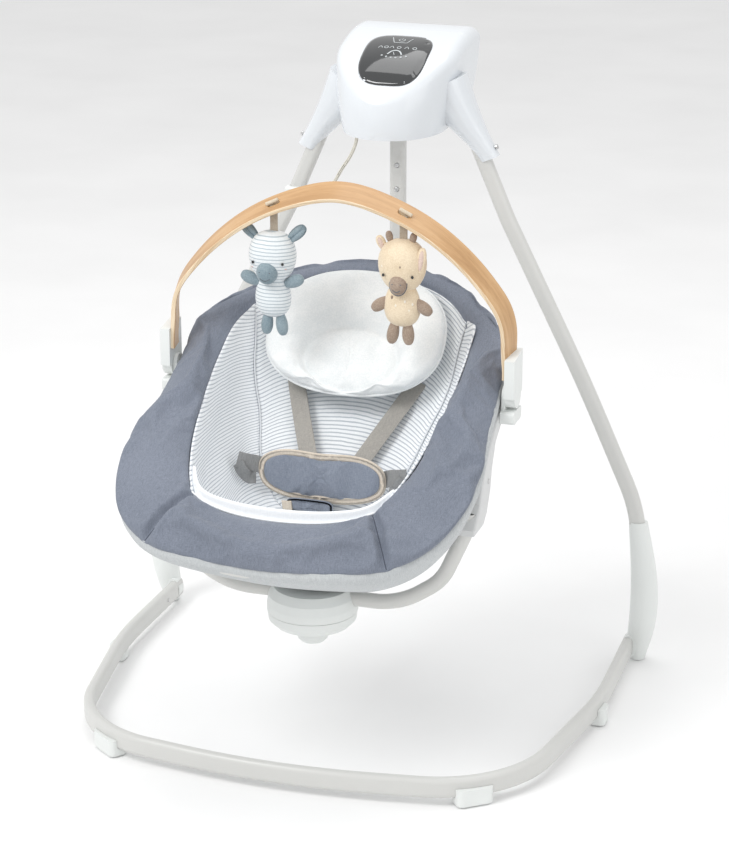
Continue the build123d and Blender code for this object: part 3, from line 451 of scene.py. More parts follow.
def flat_section(wide, thick, steps=5):
    """Ribbon section with round edges."""
    half, radius = wide / 2, thick / 2
    turns = np.linspace(-math.pi / 2, math.pi / 2, steps)
    right = [(half - radius + radius * math.cos(t), radius * math.sin(t)) for t in turns]
    top = [(a, radius) for a in np.linspace(half * 0.6, -half * 0.6, 3)]
    left = [(-a, -b) for a, b in right]
    bottom = [(-a, -radius) for a, _ in top]
    return right + top + left + bottom


def round_section(radius, count=12):
    turns = full_turn(count)
    return [(radius * math.cos(t), radius * math.sin(t)) for t in turns]


def frames_along(centres, facing, closed=False):
    """Across and outward directions at each centre, with the outward side near facing."""
    if closed:
        run = np.roll(centres, -1, axis=0) - np.roll(centres, 1, axis=0)
    else:
        run = np.gradient(centres, axis=0)
    run = unit(run)
    facing = np.broadcast_to(np.asarray(facing, float), run.shape)
    across = unit(np.cross(run, facing))
    return across, np.cross(across, run)


def strap(name, points, facing, wide, thick, finish, body, slot, count=40, closed=False):
    centres = curve(points, count, closed)
    across, out = frames_along(centres, facing, closed)
    return section_sweep(name, centres, across, out, flat_section(wide, thick), finish,
                         body, slot, closed)


def cordlike(name, points, radius, finish, body, slot, count=60, closed=False, facing=(0.3, -0.8, 0.5)):
    centres = curve(points, count, closed)
    across, out = frames_along(centres, facing, closed)
    return section_sweep(name, centres, across, out, round_section(radius), finish, body, slot, closed)


def blob(name, centre, radii, finish, body, slot, long_axis=(0, 0, 1), front=(0, -1, 0), shape=None,
         rows=20, columns=28, power=1.0):
    """A stuffed form: its third radius lies along long_axis, its second along front.
    shape maps the height from -1 to 1 to (width factor, forward shift in radii)."""
    up = unit(long_axis)
    forward = unit(np.asarray(front, float) - up * np.dot(front, up))
    side = np.cross(forward, up)
    points = [np.asarray(centre, float) - up * radii[2]]
    heights = np.linspace(-math.pi / 2, math.pi / 2, rows + 2)[1:-1]
    for angle in heights:
        level = math.sin(angle)
        wide = math.cos(angle) ** power
        factor, shift = shape(level) if shape else (1.0, 0.0)
        for turn in full_turn(columns):
            points.append(np.asarray(centre, float) + up * radii[2] * level
                          + side * radii[0] * wide * factor * math.cos(turn)
                          + forward * radii[1] * (wide * factor * math.sin(turn) + shift))
    points.append(np.asarray(centre, float) + up * radii[2])
    last = len(points) - 1
    faces = [tuple(1 + index for index in face) for face in grid_faces(rows, columns, wrap_columns=True)]
    top = 1 + (rows - 1) * columns
    for column in range(columns):
        right = (column + 1) % columns
        faces.append((0, 1 + right, 1 + column))
        faces.append((last, top + column, top + right))
    return build(name, points, faces, finish, body, slot)


# ---------------------------------------------------------------- seat plane
SEAT_ORIGIN = np.array([0.0, -138.0, 430.0])
SEAT_UP = np.array([0.0, 0.8988, 0.4384])
SEAT_OUT = np.array([0.0, -0.4384, 0.8988])
RING = [(0, -229), (95, -221), (158, -206), (204, -165), (230, -100), (236, -30), (229, 45),
        (224, 120), (217, 195), (180, 258), (105, 320), (0, 345)]
MOUTH = [(0, -145), (70, -137), (118, -112), (142, -50), (156, 30), (163, 130), (155, 215),
         (98, 285), (0, 312)]


def outline(half, count):
    """Closed outline from the middle of the foot, up the right side and back down the left."""
    loop = half + [(-u, v) for u, v in half[-2:0:-1]]
    return curve(loop, count, closed=True)


def seat_points(flat, height):
    """Points of the row frame for seat-plane points and their height above the plane."""
    flat = np.asarray(flat, float)
    height = np.broadcast_to(np.asarray(height, float), flat.shape[:-1])
    return (SEAT_ORIGIN + flat[..., :1] * np.array([1.0, 0, 0]) + flat[..., 1:2] * SEAT_UP
            + height[..., None] * SEAT_OUT)


def bowl_rows(levels, half, count, rows):
    """Rows of points down a dish whose levels are (drop, widening, foot end, head end)."""
    shape = outline(half, count)
    low, high = half[0][1], half[-1][1]
    made = []
    for drop, widen, foot, head in curve(levels, rows):
        flat = np.column_stack([shape[:, 0] * widen,
                                foot + (shape[:, 1] - low) * (head - foot) / (high - low)])
        made.append(seat_points(flat, -drop))
    return np.array(made)


# ---------------------------------------------------------------- ring pad
PAD_STATIONS = 320
PAD_TOP_STEPS = 20
PAD_UNDER_STEPS = 8
CORNER_SEAMS = (0.094, 0.906)
PAD_INSET = 0.012
PAD_SPAN = 0.976
PAD_UNDER = -7.4


def ring_pad(finish, thread):
    """Stuffed ring with its seams at the mouth, the outer rim and the two foot corners; the dark cords on
    the corner seams are real seams whose dark colour is painted shade in their grooves.
    """
    inner = outline(MOUTH, PAD_STATIONS)
    outer = outline(RING, PAD_STATIONS)
    place = np.arange(PAD_STATIONS) / PAD_STATIONS
    wide = np.linalg.norm(outer - inner, axis=1)
    crown = np.minimum(21.0, 0.42 * wide)
    nearest = np.min([np.abs(place - seam) for seam in CORNER_SEAMS], axis=0)
    groove = np.exp(-(nearest / 0.0042) ** 2)
    columns = []
    for step in range(PAD_TOP_STEPS + 1):
        s = step / PAD_TOP_STEPS
        arch = (1 - abs(2 * s - 1) ** 2.3) ** 0.55
        edge = 3.0 + (-4.0 - 3.0) * s
        reach = PAD_INSET + s * PAD_SPAN
        flat = inner + (outer - inner) * reach
        height = edge + (crown - 0.55 * crown * groove) * arch
        columns.append(seat_points(flat, height))
    for step in range(1, PAD_UNDER_STEPS):
        s = 1 - step / PAD_UNDER_STEPS
        columns.append(seat_points(inner + (outer - inner) * (PAD_INSET + s * PAD_SPAN), PAD_UNDER))
    grid = np.array(columns).transpose(1, 0, 2)
    around = grid.shape[1]
    faces = flipped(grid_faces(PAD_STATIONS, around, True, True))
    pad = build("ring_cover", grid.reshape(-1, 3), faces, finish, "seat", "ring_fabric")
    seam_rows = [int(round(seam * PAD_STATIONS)) for seam in CORNER_SEAMS]
    held = set(range(PAD_TOP_STEPS, around)) | {0}
    pins = [row * around + column for row in range(PAD_STATIONS) for column in range(around)
            if column in held or row in seam_rows]
    inflate(pad, pins, 5.0, 0.06, 7.0)
    placed = coords(pad.data) / MM
    crease = np.exp(-(nearest / 0.0030) ** 2)[:, None] * np.ones(around)
    crease[:, [0] + list(range(PAD_TOP_STEPS, around))] = 0
    placed -= SEAT_OUT * (6.0 * crease.ravel())[:, None]
    pad.data.vertices.foreach_set("co", (placed * MM).ravel())
    subdivide(pad)
    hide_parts("ring_pad")
    grid = placed.reshape(PAD_STATIONS, around, 3)
    surface = surface_tree(pad)
    for index, row in enumerate(seam_rows):
        # dark cords along the corner seams: the seams are real, their dark colour is painted shade of the
        # seam grooves
        seam = [landed(surface, point + SEAT_OUT * 30, -SEAT_OUT) for point in grid[row, 1:PAD_TOP_STEPS]]
        cordlike(f"ring_seam_{index}", np.array(seam) - SEAT_OUT * 0.1, 0.75, thread, "seat", "ring_fabric",
                 count=60)


LINER_IN = [(-5, 1.006, -147, 314), (6, 0.992, -144, 305), (24, 0.965, -143, 276), (54, 0.92, -140, 225),
            (82, 0.80, -120, 165), (104, 0.68, -94, 84), (128, 0.48, -62, 26), (141, 0.25, -44, -6)]
SLING = [(3, 0.985, -225, 340), (12, 0.992, -227, 342), (22, 0.985, -225, 339), (34, 0.962, -217, 324),
         (54, 0.925, -203, 299), (95, 0.81, -170, 236), (145, 0.61, -126, 117),
         (180, 0.36, -88, 32), (189, 0.2, -60, 0)]
LINER_COLUMNS = 360
LINER_ROWS = 60
SLING_COLUMNS = 300
SLING_ROWS = 44
BACK_SEAMS = (0.366, 0.634)
FLAP_PLACE = 0.350
FRONT_SEAMS = (0.097, 0.903)


def seat_liner(stripes, slanted, plain, thread):
    """Knit liner of a back, two side panels and a front panel, joined at recessed seams."""
    rows = bowl_rows(LINER_IN, MOUTH, LINER_COLUMNS, LINER_ROWS)
    depth = np.concatenate([[0], np.cumsum(np.linalg.norm(np.diff(rows[:, LINER_COLUMNS // 2], axis=0),
                                                          axis=1))])
    panels = {
        "liner_right": (FRONT_SEAMS[0], BACK_SEAMS[0], slanted),
        "liner_back": (BACK_SEAMS[0], BACK_SEAMS[1], stripes),
        "liner_left": (BACK_SEAMS[1], FRONT_SEAMS[1], slanted),
        "liner_front": (FRONT_SEAMS[1] - 1, FRONT_SEAMS[0], plain),
    }
    centre = rows[-1].mean(axis=0)
    for name, (start, end, finish) in panels.items():
        first, last = round(start * LINER_COLUMNS), round(end * LINER_COLUMNS)
        picked = np.arange(first, last + 1)
        part = rows[:, picked % LINER_COLUMNS]
        share = np.minimum(picked - first, last - picked) / LINER_COLUMNS * 1500
        sink = 2.6 * np.exp(-(share / 7.0) ** 2)
        inward = unit(centre + SEAT_OUT * 90 - part)
        part = part - inward * sink[None, :, None]
        if name == "liner_right":
            near = np.exp(-((picked / LINER_COLUMNS - FLAP_PLACE) / 0.014) ** 2)
            fade = np.exp(-np.arange(LINER_ROWS) / 4.0)[:, None] * near[None, :]
            part = part + fade[..., None] * (SEAT_OUT * 16 + np.array([9.0, 4.0, 0.0]))
        width = len(picked)
        close = np.broadcast_to(centre, (1, width, 3))
        points = np.concatenate([part, close])
        if finish is slanted:
            along = (part @ SEAT_UP) * 0.72 - depth[:, None] * 0.70
            along = np.concatenate([along, along[-1:]])
        else:
            along = np.broadcast_to(np.concatenate([depth, depth[-1:]])[:, None], points.shape[:2])
        faces = flipped(grid_faces(LINER_ROWS + 1, width))
        panel = build(name, points.reshape(-1, 3), faces, finish, "seat", "liner_fabric",
                      stripe=(along * MM).ravel())
        thicken(panel, 2.2, offset=1.0)
        if name == "liner_back":
            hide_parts("seat_liner")
    for index, seam in enumerate(BACK_SEAMS):
        column = round(seam * LINER_COLUMNS) % LINER_COLUMNS
        cordlike(f"liner_seam_{index}", rows[2:-6:6, column] + np.array([0, 0, 0.6]), 1.1, thread,
                 "seat", "liner_fabric", count=70)


def liner_lip(finish):
    """Plain band of the liner that stands up along the inner edge of the foot end."""
    shape = outline(MOUTH, LINER_COLUMNS)
    reach = round(0.135 * LINER_COLUMNS)
    picked = np.arange(-reach, reach + 1)
    share = np.sqrt(np.clip(1 - (picked / reach) ** 2, 0, 1))
    ends = shape[picked % LINER_COLUMNS]
    inward = unit(np.array([0.0, 40.0]) - ends)
    rows = []
    for t in np.linspace(0, 1, 12):
        flat = ends * 0.998 + inward * (9 * t * share)[:, None]
        rows.append(seat_points(flat, -4 + (5 + 10 * math.sin(t * math.pi / 2)) * share * t ** 0.4))
    rows = np.array(rows)
    faces = flipped(grid_faces(len(rows), len(picked)))
    lip = build("liner_lip", rows.reshape(-1, 3), faces, finish, "seat", "liner_fabric")
    thicken(lip, 2.4, offset=-1.0)
    edge = cordlike("liner_lip_edge", rows[-1][2:-2:3], 1.9, finish, "seat", "liner_fabric", count=120)


def seat_sling(finish):
    """Hammock under the liner, stretched from the ring tube."""
    rows = bowl_rows(SLING, RING, SLING_COLUMNS, SLING_ROWS)
    place = np.arange(SLING_COLUMNS) / SLING_COLUMNS
    for index in range(SLING_ROWS):
        ripple = 0.8 * np.sin(place * 2 * math.pi * 46 + 0.05 * index) * math.exp(-index / 7)
        rows[index] -= SEAT_OUT * ripple[:, None] * 0.6
    centre = rows[-1].mean(axis=0)
    points = np.concatenate([rows.reshape(-1, 3), np.broadcast_to(centre, (SLING_COLUMNS, 3))])
    faces = grid_faces(SLING_ROWS + 1, SLING_COLUMNS, wrap_columns=True)
    sling = build("sling_cloth", points, faces, finish, "seat", "sling_fabric")
    thicken(sling, 2.0, offset=1.0)
    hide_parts("seat_sling")


# ---------------------------------------------------------------- head insert
INSERT_CENTRE = np.array([0.0, 43.0, 522.0])
INSERT_UP = np.array([0.0, 0.651, 0.759])
INSERT_OUT = np.array([0.0, -0.759, 0.651])
CRADLE_SHIFT = -33.0
CRADLE_HALF = (66.0, 45.0)


def insert_points(radial_steps, spokes):
    """Front points by ring and spoke, and the ring number of the inner seam."""
    turns = full_turn(spokes)
    cosine, sine = np.cos(turns), np.sin(turns)
    square_cosine, square_sine = squared(turns, 2 / 2.35)
    inner = np.column_stack([CRADLE_HALF[0] * cosine, CRADLE_SHIFT + CRADLE_HALF[1] * sine])
    tall = np.where(sine > 0, 95.0, 84.0)
    rim = np.column_stack([123 * square_cosine, tall * square_sine])
    seam = radial_steps // 3
    rings = []
    for step in range(1, radial_steps + 1):
        if step <= seam:
            t = step / seam
            flat = np.array([0, CRADLE_SHIFT]) + (inner - [0, CRADLE_SHIFT]) * t
            height = -18 + 5 * (1 - t ** 2) - 2 * t ** 6 + np.zeros(spokes)
        else:
            t = (step - seam) / (radial_steps - seam)
            flat = inner + (rim - inner) * t
            wide = np.linalg.norm(rim - inner, axis=1)
            arch = (1 - abs(2 * t - 1) ** 2.4) ** 0.5
            height = -20 + (2 * t) + np.minimum(19.0, wide * 0.5) * arch
        rings.append(INSERT_CENTRE + flat[:, :1] * np.array([1.0, 0, 0])
                     + flat[:, 1:2] * INSERT_UP + height[:, None] * INSERT_OUT)
    return np.array(rings), seam


def head_insert(finish, thread):
    """Puffy oval pillow with an inner head cradle held by its seam."""
    steps, spokes = 27, 132
    rings, seam = insert_points(steps, spokes)
    back = []
    for share, depth in ((0.97, -27), (0.8, -31), (0.4, -31)):
        flat = (rings[-1] - INSERT_CENTRE) @ np.column_stack([np.array([1.0, 0, 0]), INSERT_UP])
        back.append(INSERT_CENTRE + share * (flat[:, :1] * np.array([1.0, 0, 0])
                                             + flat[:, 1:2] * INSERT_UP) + depth * INSERT_OUT)
    grid = np.concatenate([rings, np.array(back)])
    rows = len(grid)
    points = [grid.reshape(-1, 3), [INSERT_CENTRE + CRADLE_SHIFT * INSERT_UP - 13 * INSERT_OUT],
              [INSERT_CENTRE - 31 * INSERT_OUT]]
    points = np.concatenate(points)
    pillow = build("insert_pillow", points, closed_faces(rows, spokes), finish, "seat", "insert_fabric")
    pins = [(seam - 1) * spokes + k for k in range(spokes)]
    pins += range((steps - 1) * spokes, len(points))
    inflate(pillow, pins, 4.0, 0.03, 7.0)
    subdivide(pillow)
    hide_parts("head_insert")
    cordlike("insert_seam", rings[seam - 1][::3] + INSERT_OUT * 0.4, 0.9, thread, "seat",
             "insert_fabric", count=160, closed=True)
    cordlike("insert_piping", rings[-1][::3], 1.9, finish, "seat", "insert_fabric", count=200, closed=True)


# ---------------------------------------------------------------- harness
def pad_outline(half_wide, half_tall, corner, dip, count):
    """Rounded rectangle with a shallow dip in its top edge."""
    cosine, sine = squared(full_turn(count), 2 / (2 + 3.2 * (1 - corner)))
    x, z = half_wide * cosine, half_tall * sine
    sag = dip * np.exp(-(x / (half_wide * 0.45)) ** 2)
    return np.column_stack([x, np.where(z > 0, z - sag, z)])


def soft_panel(name, centre, half_wide, half_tall, corner, dip, thick, finish, binding, wrap=0.0,
               edge_wide=10.0):
    """Thin stuffed panel that faces the foot end, with a bound edge."""
    count, steps = 96, 12
    centre = np.asarray(centre, float)
    rim = pad_outline(half_wide, half_tall, corner, dip, count)

    def place(flat, lift):
        back = wrap * (flat[:, 0] / half_wide) ** 2
        return centre + np.column_stack([flat[:, 0], back - lift, flat[:, 1]])

    rings = [place(rim * (step / steps), 0.9 + (thick / 2 - 0.9) * (1 - (step / steps) ** 4) ** 0.6)
             for step in range(1, steps + 1)]
    rings += [place(rim * share, -thick / 2 + 0.5) for share in (0.94, 0.5)]
    grid = np.array(rings)
    points = np.concatenate([grid.reshape(-1, 3), [centre - [0, thick / 2, 0]],
                             [centre + [0, thick / 2 - 0.5, 0]]])
    panel = build(name, points, closed_faces(len(grid), count), finish, "seat", "lap_fabric")
    inflate(panel, range((steps - 1) * count, len(points)), 2.5, 0.03, 3.0)
    subdivide(panel)
    strap(name + "_binding", rings[steps - 1][::2], (0, -1, 0), edge_wide, 4.2, binding, "seat",
          "lap_fabric", count=150, closed=True)
    return panel


def harness(fill, binding, web, dark_web):
    lap = soft_panel("lap_cover", (-2, -84.5, 361), 83, 32, 0.8, 5.0, 9.0, fill, binding, wrap=3.0)
    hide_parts("lap_pad")
    tab = soft_panel("crotch_cover", (-14, -97, 323), 30, 8, 0.3, 0.0, 6.0, fill, fill, edge_wide=4.0)
    strap("crotch_tag", [(-52, -97, 320), (-46, -99, 321), (-38, -100.5, 322)], (0, -1, 0), 13, 2.0,
          binding, "seat", "lap_fabric", count=12)
    for side, shift in ((-1, -5), (1, 9)):
        strap(f"shoulder_web_{side + 1}",
                              [(side * 80 + shift, 55, 456), (side * 66 + shift, 26, 432),
                               (side * 46 + shift, -12, 399), (side * 28 + shift, -44, 369)],
                              (side * 0.1, -0.67, 0.74), 24, 1.9, web, "seat", "webbing")
    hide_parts("shoulder_straps")
    for side in (-1, 1):
        strap(f"waist_web_{side + 1}",
                           [(side * 116, -92, 375), (side * 106, -91, 373), (side * 92, -82, 368),
                            (side * 80, -77, 362)],
                           (side * 0.2, -0.9, 0.45), 22, 1.9, dark_web, "seat", "webbing")
        strap(f"waist_fold_{side + 1}",
              [(side * 114, -94, 371), (side * 108, -97, 362), (side * 100, -95, 354),
               (side * 92, -88, 352)],
              (side * 0.3, -0.9, 0.3), 18, 1.9, dark_web, "seat", "webbing")
    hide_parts("waist_straps")
    crotch = strap("crotch_web", [(0, -140, 308), (0, -124, 309), (0, -106, 312), (0, -93, 318)],
                   (0, -0.4, 0.9), 24, 1.9, web, "seat", "webbing")
    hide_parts("crotch_strap")


# ---------------------------------------------------------------- toys
SIDES = (-1, 1)
HEAD_RADII = (32, 25, 35)
TORSO_RADII = (24, 18, 31)
HEAD_Y = -17
TORSO_Y = -16
TORSO_DROP = 51
TAPE_X = 88.0


def petal(name, root, tip, wide, thick, finish, body, slot, blunt=0.75):
    """Ear or paw: a flattened form that swells from its root and rounds off at its tip."""
    root, tip = np.asarray(root, float), np.asarray(tip, float)
    axis = tip - root

    def swell(level):
        return 0.62 + 0.38 * math.sin((level + 1) * math.pi / 2 * blunt), 0.0

    return blob(name, (root + tip) / 2, (wide / 2, thick / 2, np.linalg.norm(axis) / 2), finish, body,
                slot, long_axis=axis, shape=swell, rows=14, columns=20, power=0.7)


def limb(name, root, tip, wide, finish, home):
    """Stuffed arm or leg."""
    petal(name, root, tip, wide, 15, finish, *home, 0.62)


def toy_face(name, x, head_z, eyes, muzzle, muzzle_radii, cloth_muzzle, thread, eye_finish, home):
    """Muzzle with nostril and mouth stitches, and two bead eyes."""
    centre = np.array([x, HEAD_Y, head_z], float)
    nose = centre + muzzle
    blob(f"{name}_muzzle", nose, muzzle_radii, cloth_muzzle, *home)
    wide, deep, tall = muzzle_radii
    for side in SIDES:
        blob(f"{name}_eye_{side + 1}", centre + np.array([side * eyes[0], eyes[1], eyes[2]]),
             (1.9, 1.5, 2.2), eye_finish, *home, rows=10, columns=14)
        spot = nose + np.array([side * wide * 0.42, -deep * 0.86, tall * 0.18])
        cordlike(f"{name}_nostril_{side + 1}", [spot + [-1.6, 0.3, -0.6], spot, spot + [1.6, 0.3, -0.6]],
                 0.55, thread, *home, count=14)
    mouth = [nose + np.array([wide * a, -deep * math.sqrt(max(0.05, 1 - a * a - b * b)) - 0.2, tall * b])
             for a, b in ((-0.45, -0.38), (-0.2, -0.52), (0, -0.56), (0.2, -0.52), (0.45, -0.38))]
    cordlike(f"{name}_mouth", mouth, 0.5, thread, *home, count=30)


def toy_body(name, x, head_z, coat, paw, home, leg_way):
    """Head, body and legs of one hanging toy; the body piece stands for the toy's CAD node."""
    head = blob(f"{name}_head", (x, HEAD_Y, head_z), HEAD_RADII, coat, *home,
                shape=lambda level: (1.0 + 0.07 * level, 0.0), power=0.82)
    torso = blob(f"{name}_torso", (x, TORSO_Y, head_z - TORSO_DROP), TORSO_RADII, coat, *home,
                 shape=lambda level: (1.0 - 0.14 * level, 0.0), power=0.8)
    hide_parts(home[0])
    for side in SIDES:
        hip = (x + side * 8 + leg_way * 0.4, -17.0, head_z - 72)
        foot = (x + side * 12 + leg_way, -20.0, head_z - 106)
        limb(f"{name}_leg_{side + 1}", hip, foot, 17, paw, home)


def toy_strap(name, x, finish, home):
    """Loop of tape from the head up through the slot of the bar."""
    strap(f"{name}_tape", [(x, -16, z) for z in (660, 675, 690, 702)], (0, -1, 0), 10.6, 1.8, finish,
          *home, count=20)


def zebra(coat, slate, ear, tape, thread, eye, blush):
    home, x, z = ("zebra_toy", "zebra_plush"), -90.0, 634.0
    toy_body("zebra", x, z, coat, slate, home, 3.0)
    toy_face("zebra", x, z, (20.5, -20.4, -4), (-1, -20, -17), (14.5, 12, 15.5), slate, thread, eye, home)
    for side in SIDES:
        root = np.array([x + side * 19, -15.0, z + 20])
        tip = np.array([x + side * 44, -13.0, z + 43])
        petal(f"zebra_ear_{side + 1}", root, tip, 17, 8, ear, *home, 0.62)
        for fold, offset in enumerate((-3.2, 3.2)):
            bend = np.array([offset * 0.7, 0, -offset * side * 0.7])
            petal(f"zebra_ear_fold_{side + 1}_{fold}", root + (tip - root) * 0.1 + bend + [0, -2.6, 0],
                  root + (tip - root) * 0.92 + bend + [0, -2.4, 0], 6.2, 4.5, slate, *home)
        limb(f"zebra_arm_{side + 1}", (x + side * 14, -18.0, z - 38), (x + side * 43, -20.0, z - 25), 18,
             slate, home)
        cheek = np.array([x + side * 22.5, -32.0, z - 12])
        cordlike(f"zebra_blush_{side + 1}", [cheek + [-1.6, -0.2, 0], cheek, cheek + [1.6, 0.4, 0]], 0.5,
                 blush, *home, count=12)
    toy_strap("zebra", -TAPE_X, tape, home)


EAR_LINES = {-1: ((-24, -14, 16), (-34, -13, 36)), 1: ((27, -30, -6), (30, -26, 28))}
GIRAFFE_SPOTS = [
    # across, up, size, and 0 for a taupe or 1 for a pale spot
    (-17, 14, 2.6, 0), (-8, 24, 2.0, 1), (8, 26, 2.2, 1), (16, 12, 2.2, 1), (-4, 12, 1.8, 1),
    (4, 4, 2.0, 0), (-22, 2, 1.8, 1), (20, 22, 2.2, 0), (-10, -40, 2.4, 0), (8, -44, 2.0, 1),
    (-4, -50, 2.0, 1), (13, -56, 2.4, 1), (-13, -58, 2.0, 1), (2, -62, 2.4, 0), (-7, -70, 2.0, 1),
    (9, -70, 2.2, 0), (17, -48, 2.0, 1),
]
LOWEST_HEAD_SPOT = -30


def giraffe_spot(name, place, u, w, size, finish, home):
    """Flat spot on the front of the head or the torso, at u across and w above the head's centre."""
    on_head = w > LOWEST_HEAD_SPOT
    half = HEAD_RADII if on_head else TORSO_RADII
    low = w if on_head else w + TORSO_DROP
    depth = half[1] * math.sqrt(max(0.0, 1 - (u / half[0]) ** 2 - (low / half[2]) ** 2))
    spot = np.array([place[0] + u, (HEAD_Y if on_head else TORSO_Y) - depth + 0.6, place[1] + w])
    normal = unit([u / half[0] ** 2, -depth / half[1] ** 2, low / half[2] ** 2])
    blob(name, spot, (size * 0.7, 1.1, size), finish, *home,
         long_axis=unit(np.cross(normal, [1.0, 0, 0])), front=normal, rows=8, columns=18)


def giraffe(coat, taupe, blush_ear, tape, thread, eye, spots):
    home, x, z = ("giraffe_toy", "giraffe_plush"), 87.0, 637.0
    toy_body("giraffe", x, z, coat, taupe, home, -2.0)
    toy_face("giraffe", x, z, (19.5, -21.2, -9), (0, -19, -21), (11.5, 10, 14), taupe, thread, eye, home)
    for side in SIDES:
        horn = np.array([x + side * 14 - 2, -16.0, z + 27])
        petal(f"giraffe_horn_{side + 1}", horn, horn + [side * 3.5, 0, 17], 10, 10, taupe, *home, 0.62)
        root, tip = np.array([x, 0, z]) + EAR_LINES[side]
        petal(f"giraffe_ear_{side + 1}", root, tip, 13, 7, coat, *home, 0.66)
        petal(f"giraffe_inner_ear_{side + 1}", root + (tip - root) * 0.12 + [0, -2.6, 0],
              root + (tip - root) * 0.9 + [0, -2.2, 0], 7, 4, blush_ear, *home)
        limb(f"giraffe_arm_{side + 1}", (x + side * 15, -18.0, z - 44), (x + side * 40, -19.0, z - 62), 17,
             taupe, home)
    rim = [(x + 11.8 * math.cos(t), -36 + 2.0 * math.sin(t), z - 21 + 14.3 * math.sin(t))
           for t in full_turn(24)]
    cordlike("giraffe_muzzle_rim", rim, 0.6, thread, *home, count=60, closed=True)
    for index, (u, w, size, pale) in enumerate(GIRAFFE_SPOTS):
        giraffe_spot(f"giraffe_spot_{index}", (x, z), u, w, size, spots if pale else taupe, home)
    toy_strap("giraffe", TAPE_X, tape, home)


def toggles(finish):
    """Corded toggles that stop the toy tapes above the bar."""
    for index, side in enumerate((-1, 1)):
        low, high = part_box("toy_toggles")
        middle = (low[1] + high[1]) / 2 / MM
        height = (low[2] + high[2]) / 2 / MM
        half = 9.0
        end = np.array([side * 90.7, middle, height])
        run = unit([1.0, 0, -side * 0.48])
        piece = cordlike(f"toggle_{index}", [end - run * half, end, end + run * half], 2.6, finish,
                         "toy_bar", "toggle_fabric", count=12)
        if index == 0:
            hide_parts("toy_toggles")


# ---------------------------------------------------------------- tether lead and panel icons
LEAD = [(-52, 226, 753.4), (-54, 230, 735), (-64, 236, 713), (-78, 239, 692), (-91, 241, 671),
        (-109, 244, 655), (-130.4, 248, 651)]


def tether_lead(finish):
    """Soft moulded lead, held at the gland under the housing and at the clip on the leg."""
    centres = curve(LEAD, 60)
    across, out = frames_along(centres, (0.3, -0.9, 0.2))
    lead = section_sweep("lead_line", centres, across, out, flat_section(5.0, 4.2, 9), finish, "frame",
                         "lead_cream")
    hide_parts("tether_lead")


LENS_CENTRE = (4.0, 224.0)
LENS_HALF = (46.0, 49.0)
LENS_CROWN = 2.2
ROOF_ABOVE = 900.0


def on_roof(tree, place, lift):
    """Roof point under a plan place, raised by lift along the roof's normal."""
    start = Vector((place[0] * MM, place[1] * MM, ROOF_ABOVE * MM))
    hit, normal, _, _ = tree.ray_cast(start, Vector((0, 0, -1)))
    upward = np.array(normal) * math.copysign(1, normal.z)
    return np.array(hit) / MM + upward * lift, upward


def roof_tree():
    """The housing front and the panel as one surface to lay things on."""
    points, faces = [], []
    for name in ("housing_front", "control_panel"):
        mesh = nodes[name].data
        start = len(points)
        points += [vertex.co.copy() for vertex in mesh.vertices]
        faces += [tuple(start + index for index in face.vertices) for face in mesh.polygons]
    return BVHTree.FromPolygons(points, faces)


def panel_lens(tree, finish):
    """Crowned dark lens with round corners, laid on the panel."""
    count, steps = 120, 16
    shape = np.column_stack(squared(full_turn(count), 2 / 3.4)) * LENS_HALF
    points = [on_roof(tree, LENS_CENTRE, 0.6 + LENS_CROWN)[0]]
    for step in range(1, steps + 1):
        share = step / steps
        lift = 0.6 + LENS_CROWN * (1 - share ** 3)
        points += [on_roof(tree, LENS_CENTRE + spot * share, lift)[0] for spot in shape]
    points += [on_roof(tree, LENS_CENTRE + spot, -0.5)[0] for spot in shape]
    faces = [(0, 1 + k, 1 + (k + 1) % count) for k in range(count)]
    faces += [tuple(1 + index for index in face[::-1])
              for face in grid_faces(steps + 1, count, wrap_columns=True)]
    return build("lens_cover", points, faces, finish, "frame", "panel_lens")


def panel_icons(tree, finish):
    """Generic touch symbols, printed on the lens."""
    def stroke(name, path, wide, closed=False):
        found = [on_roof(tree, place, 0.12) for place in path]
        centres = np.array([place for place, _ in found])
        normals = np.array([normal for _, normal in found])
        run = unit(np.roll(centres, -1, axis=0) - np.roll(centres, 1, axis=0) if closed
                   else np.gradient(centres, axis=0))
        across = unit(np.cross(run, normals))
        section = [(wide / 2, 0), (wide / 2, 0.2), (-wide / 2, 0.2), (-wide / 2, 0)]
        section_sweep(name, centres, across, normals, section, finish, "frame", "panel_lens", closed)

    def ring(x, y, radius, count=20):
        return [(x + radius * math.cos(t), y + radius * math.sin(t))
                for t in full_turn(count)]

    def line(points, count=14):
        return [tuple(place) for place in curve(points, count)]

    def straight(points):
        return [tuple(np.array(a) + (np.array(b) - np.array(a)) * t)
                for a, b in zip(points, points[1:]) for t in np.linspace(0, 1, 8, endpoint=False)]

    x = LENS_CENTRE[0]
    stroke("icon_funnel", straight([(x - 15, 263), (x - 9, 247), (x + 9, 247), (x + 15, 263)]), 1.0)
    stroke("icon_power",
           line([(x - 2.4, 259), (x - 4.4, 255), (x, 251), (x + 4.4, 255), (x + 2.4, 259)]), 0.9)
    stroke("icon_power_bar", [(x, 256), (x, 258), (x, 261)], 0.9)
    for index, shift in enumerate((-24, -16, -8, 2, 13, 24)):
        if index % 2:
            stroke(f"icon_sign_{index}", ring(x + shift, 234, 2.6), 0.9, True)
        else:
            caret = [(x + shift - 3, 232), (x + shift, 236.5), (x + shift + 3, 232)]
            stroke(f"icon_sign_{index}", line(caret), 0.9)
    stroke("icon_arc", line([(x - 10, 218), (x - 6, 224.5), (x, 227), (x + 6, 224.5), (x + 10, 218)]), 2.0)
    stroke("icon_needle", [(x, 217), (x - 1.5, 220), (x - 3, 223)], 0.9)
    for index, shift in enumerate(np.linspace(-17, 17, 6)):
        stroke(f"icon_dot_{index}", ring(x + shift, 212 + 0.012 * shift * shift, 0.9, 12), 1.0, True)


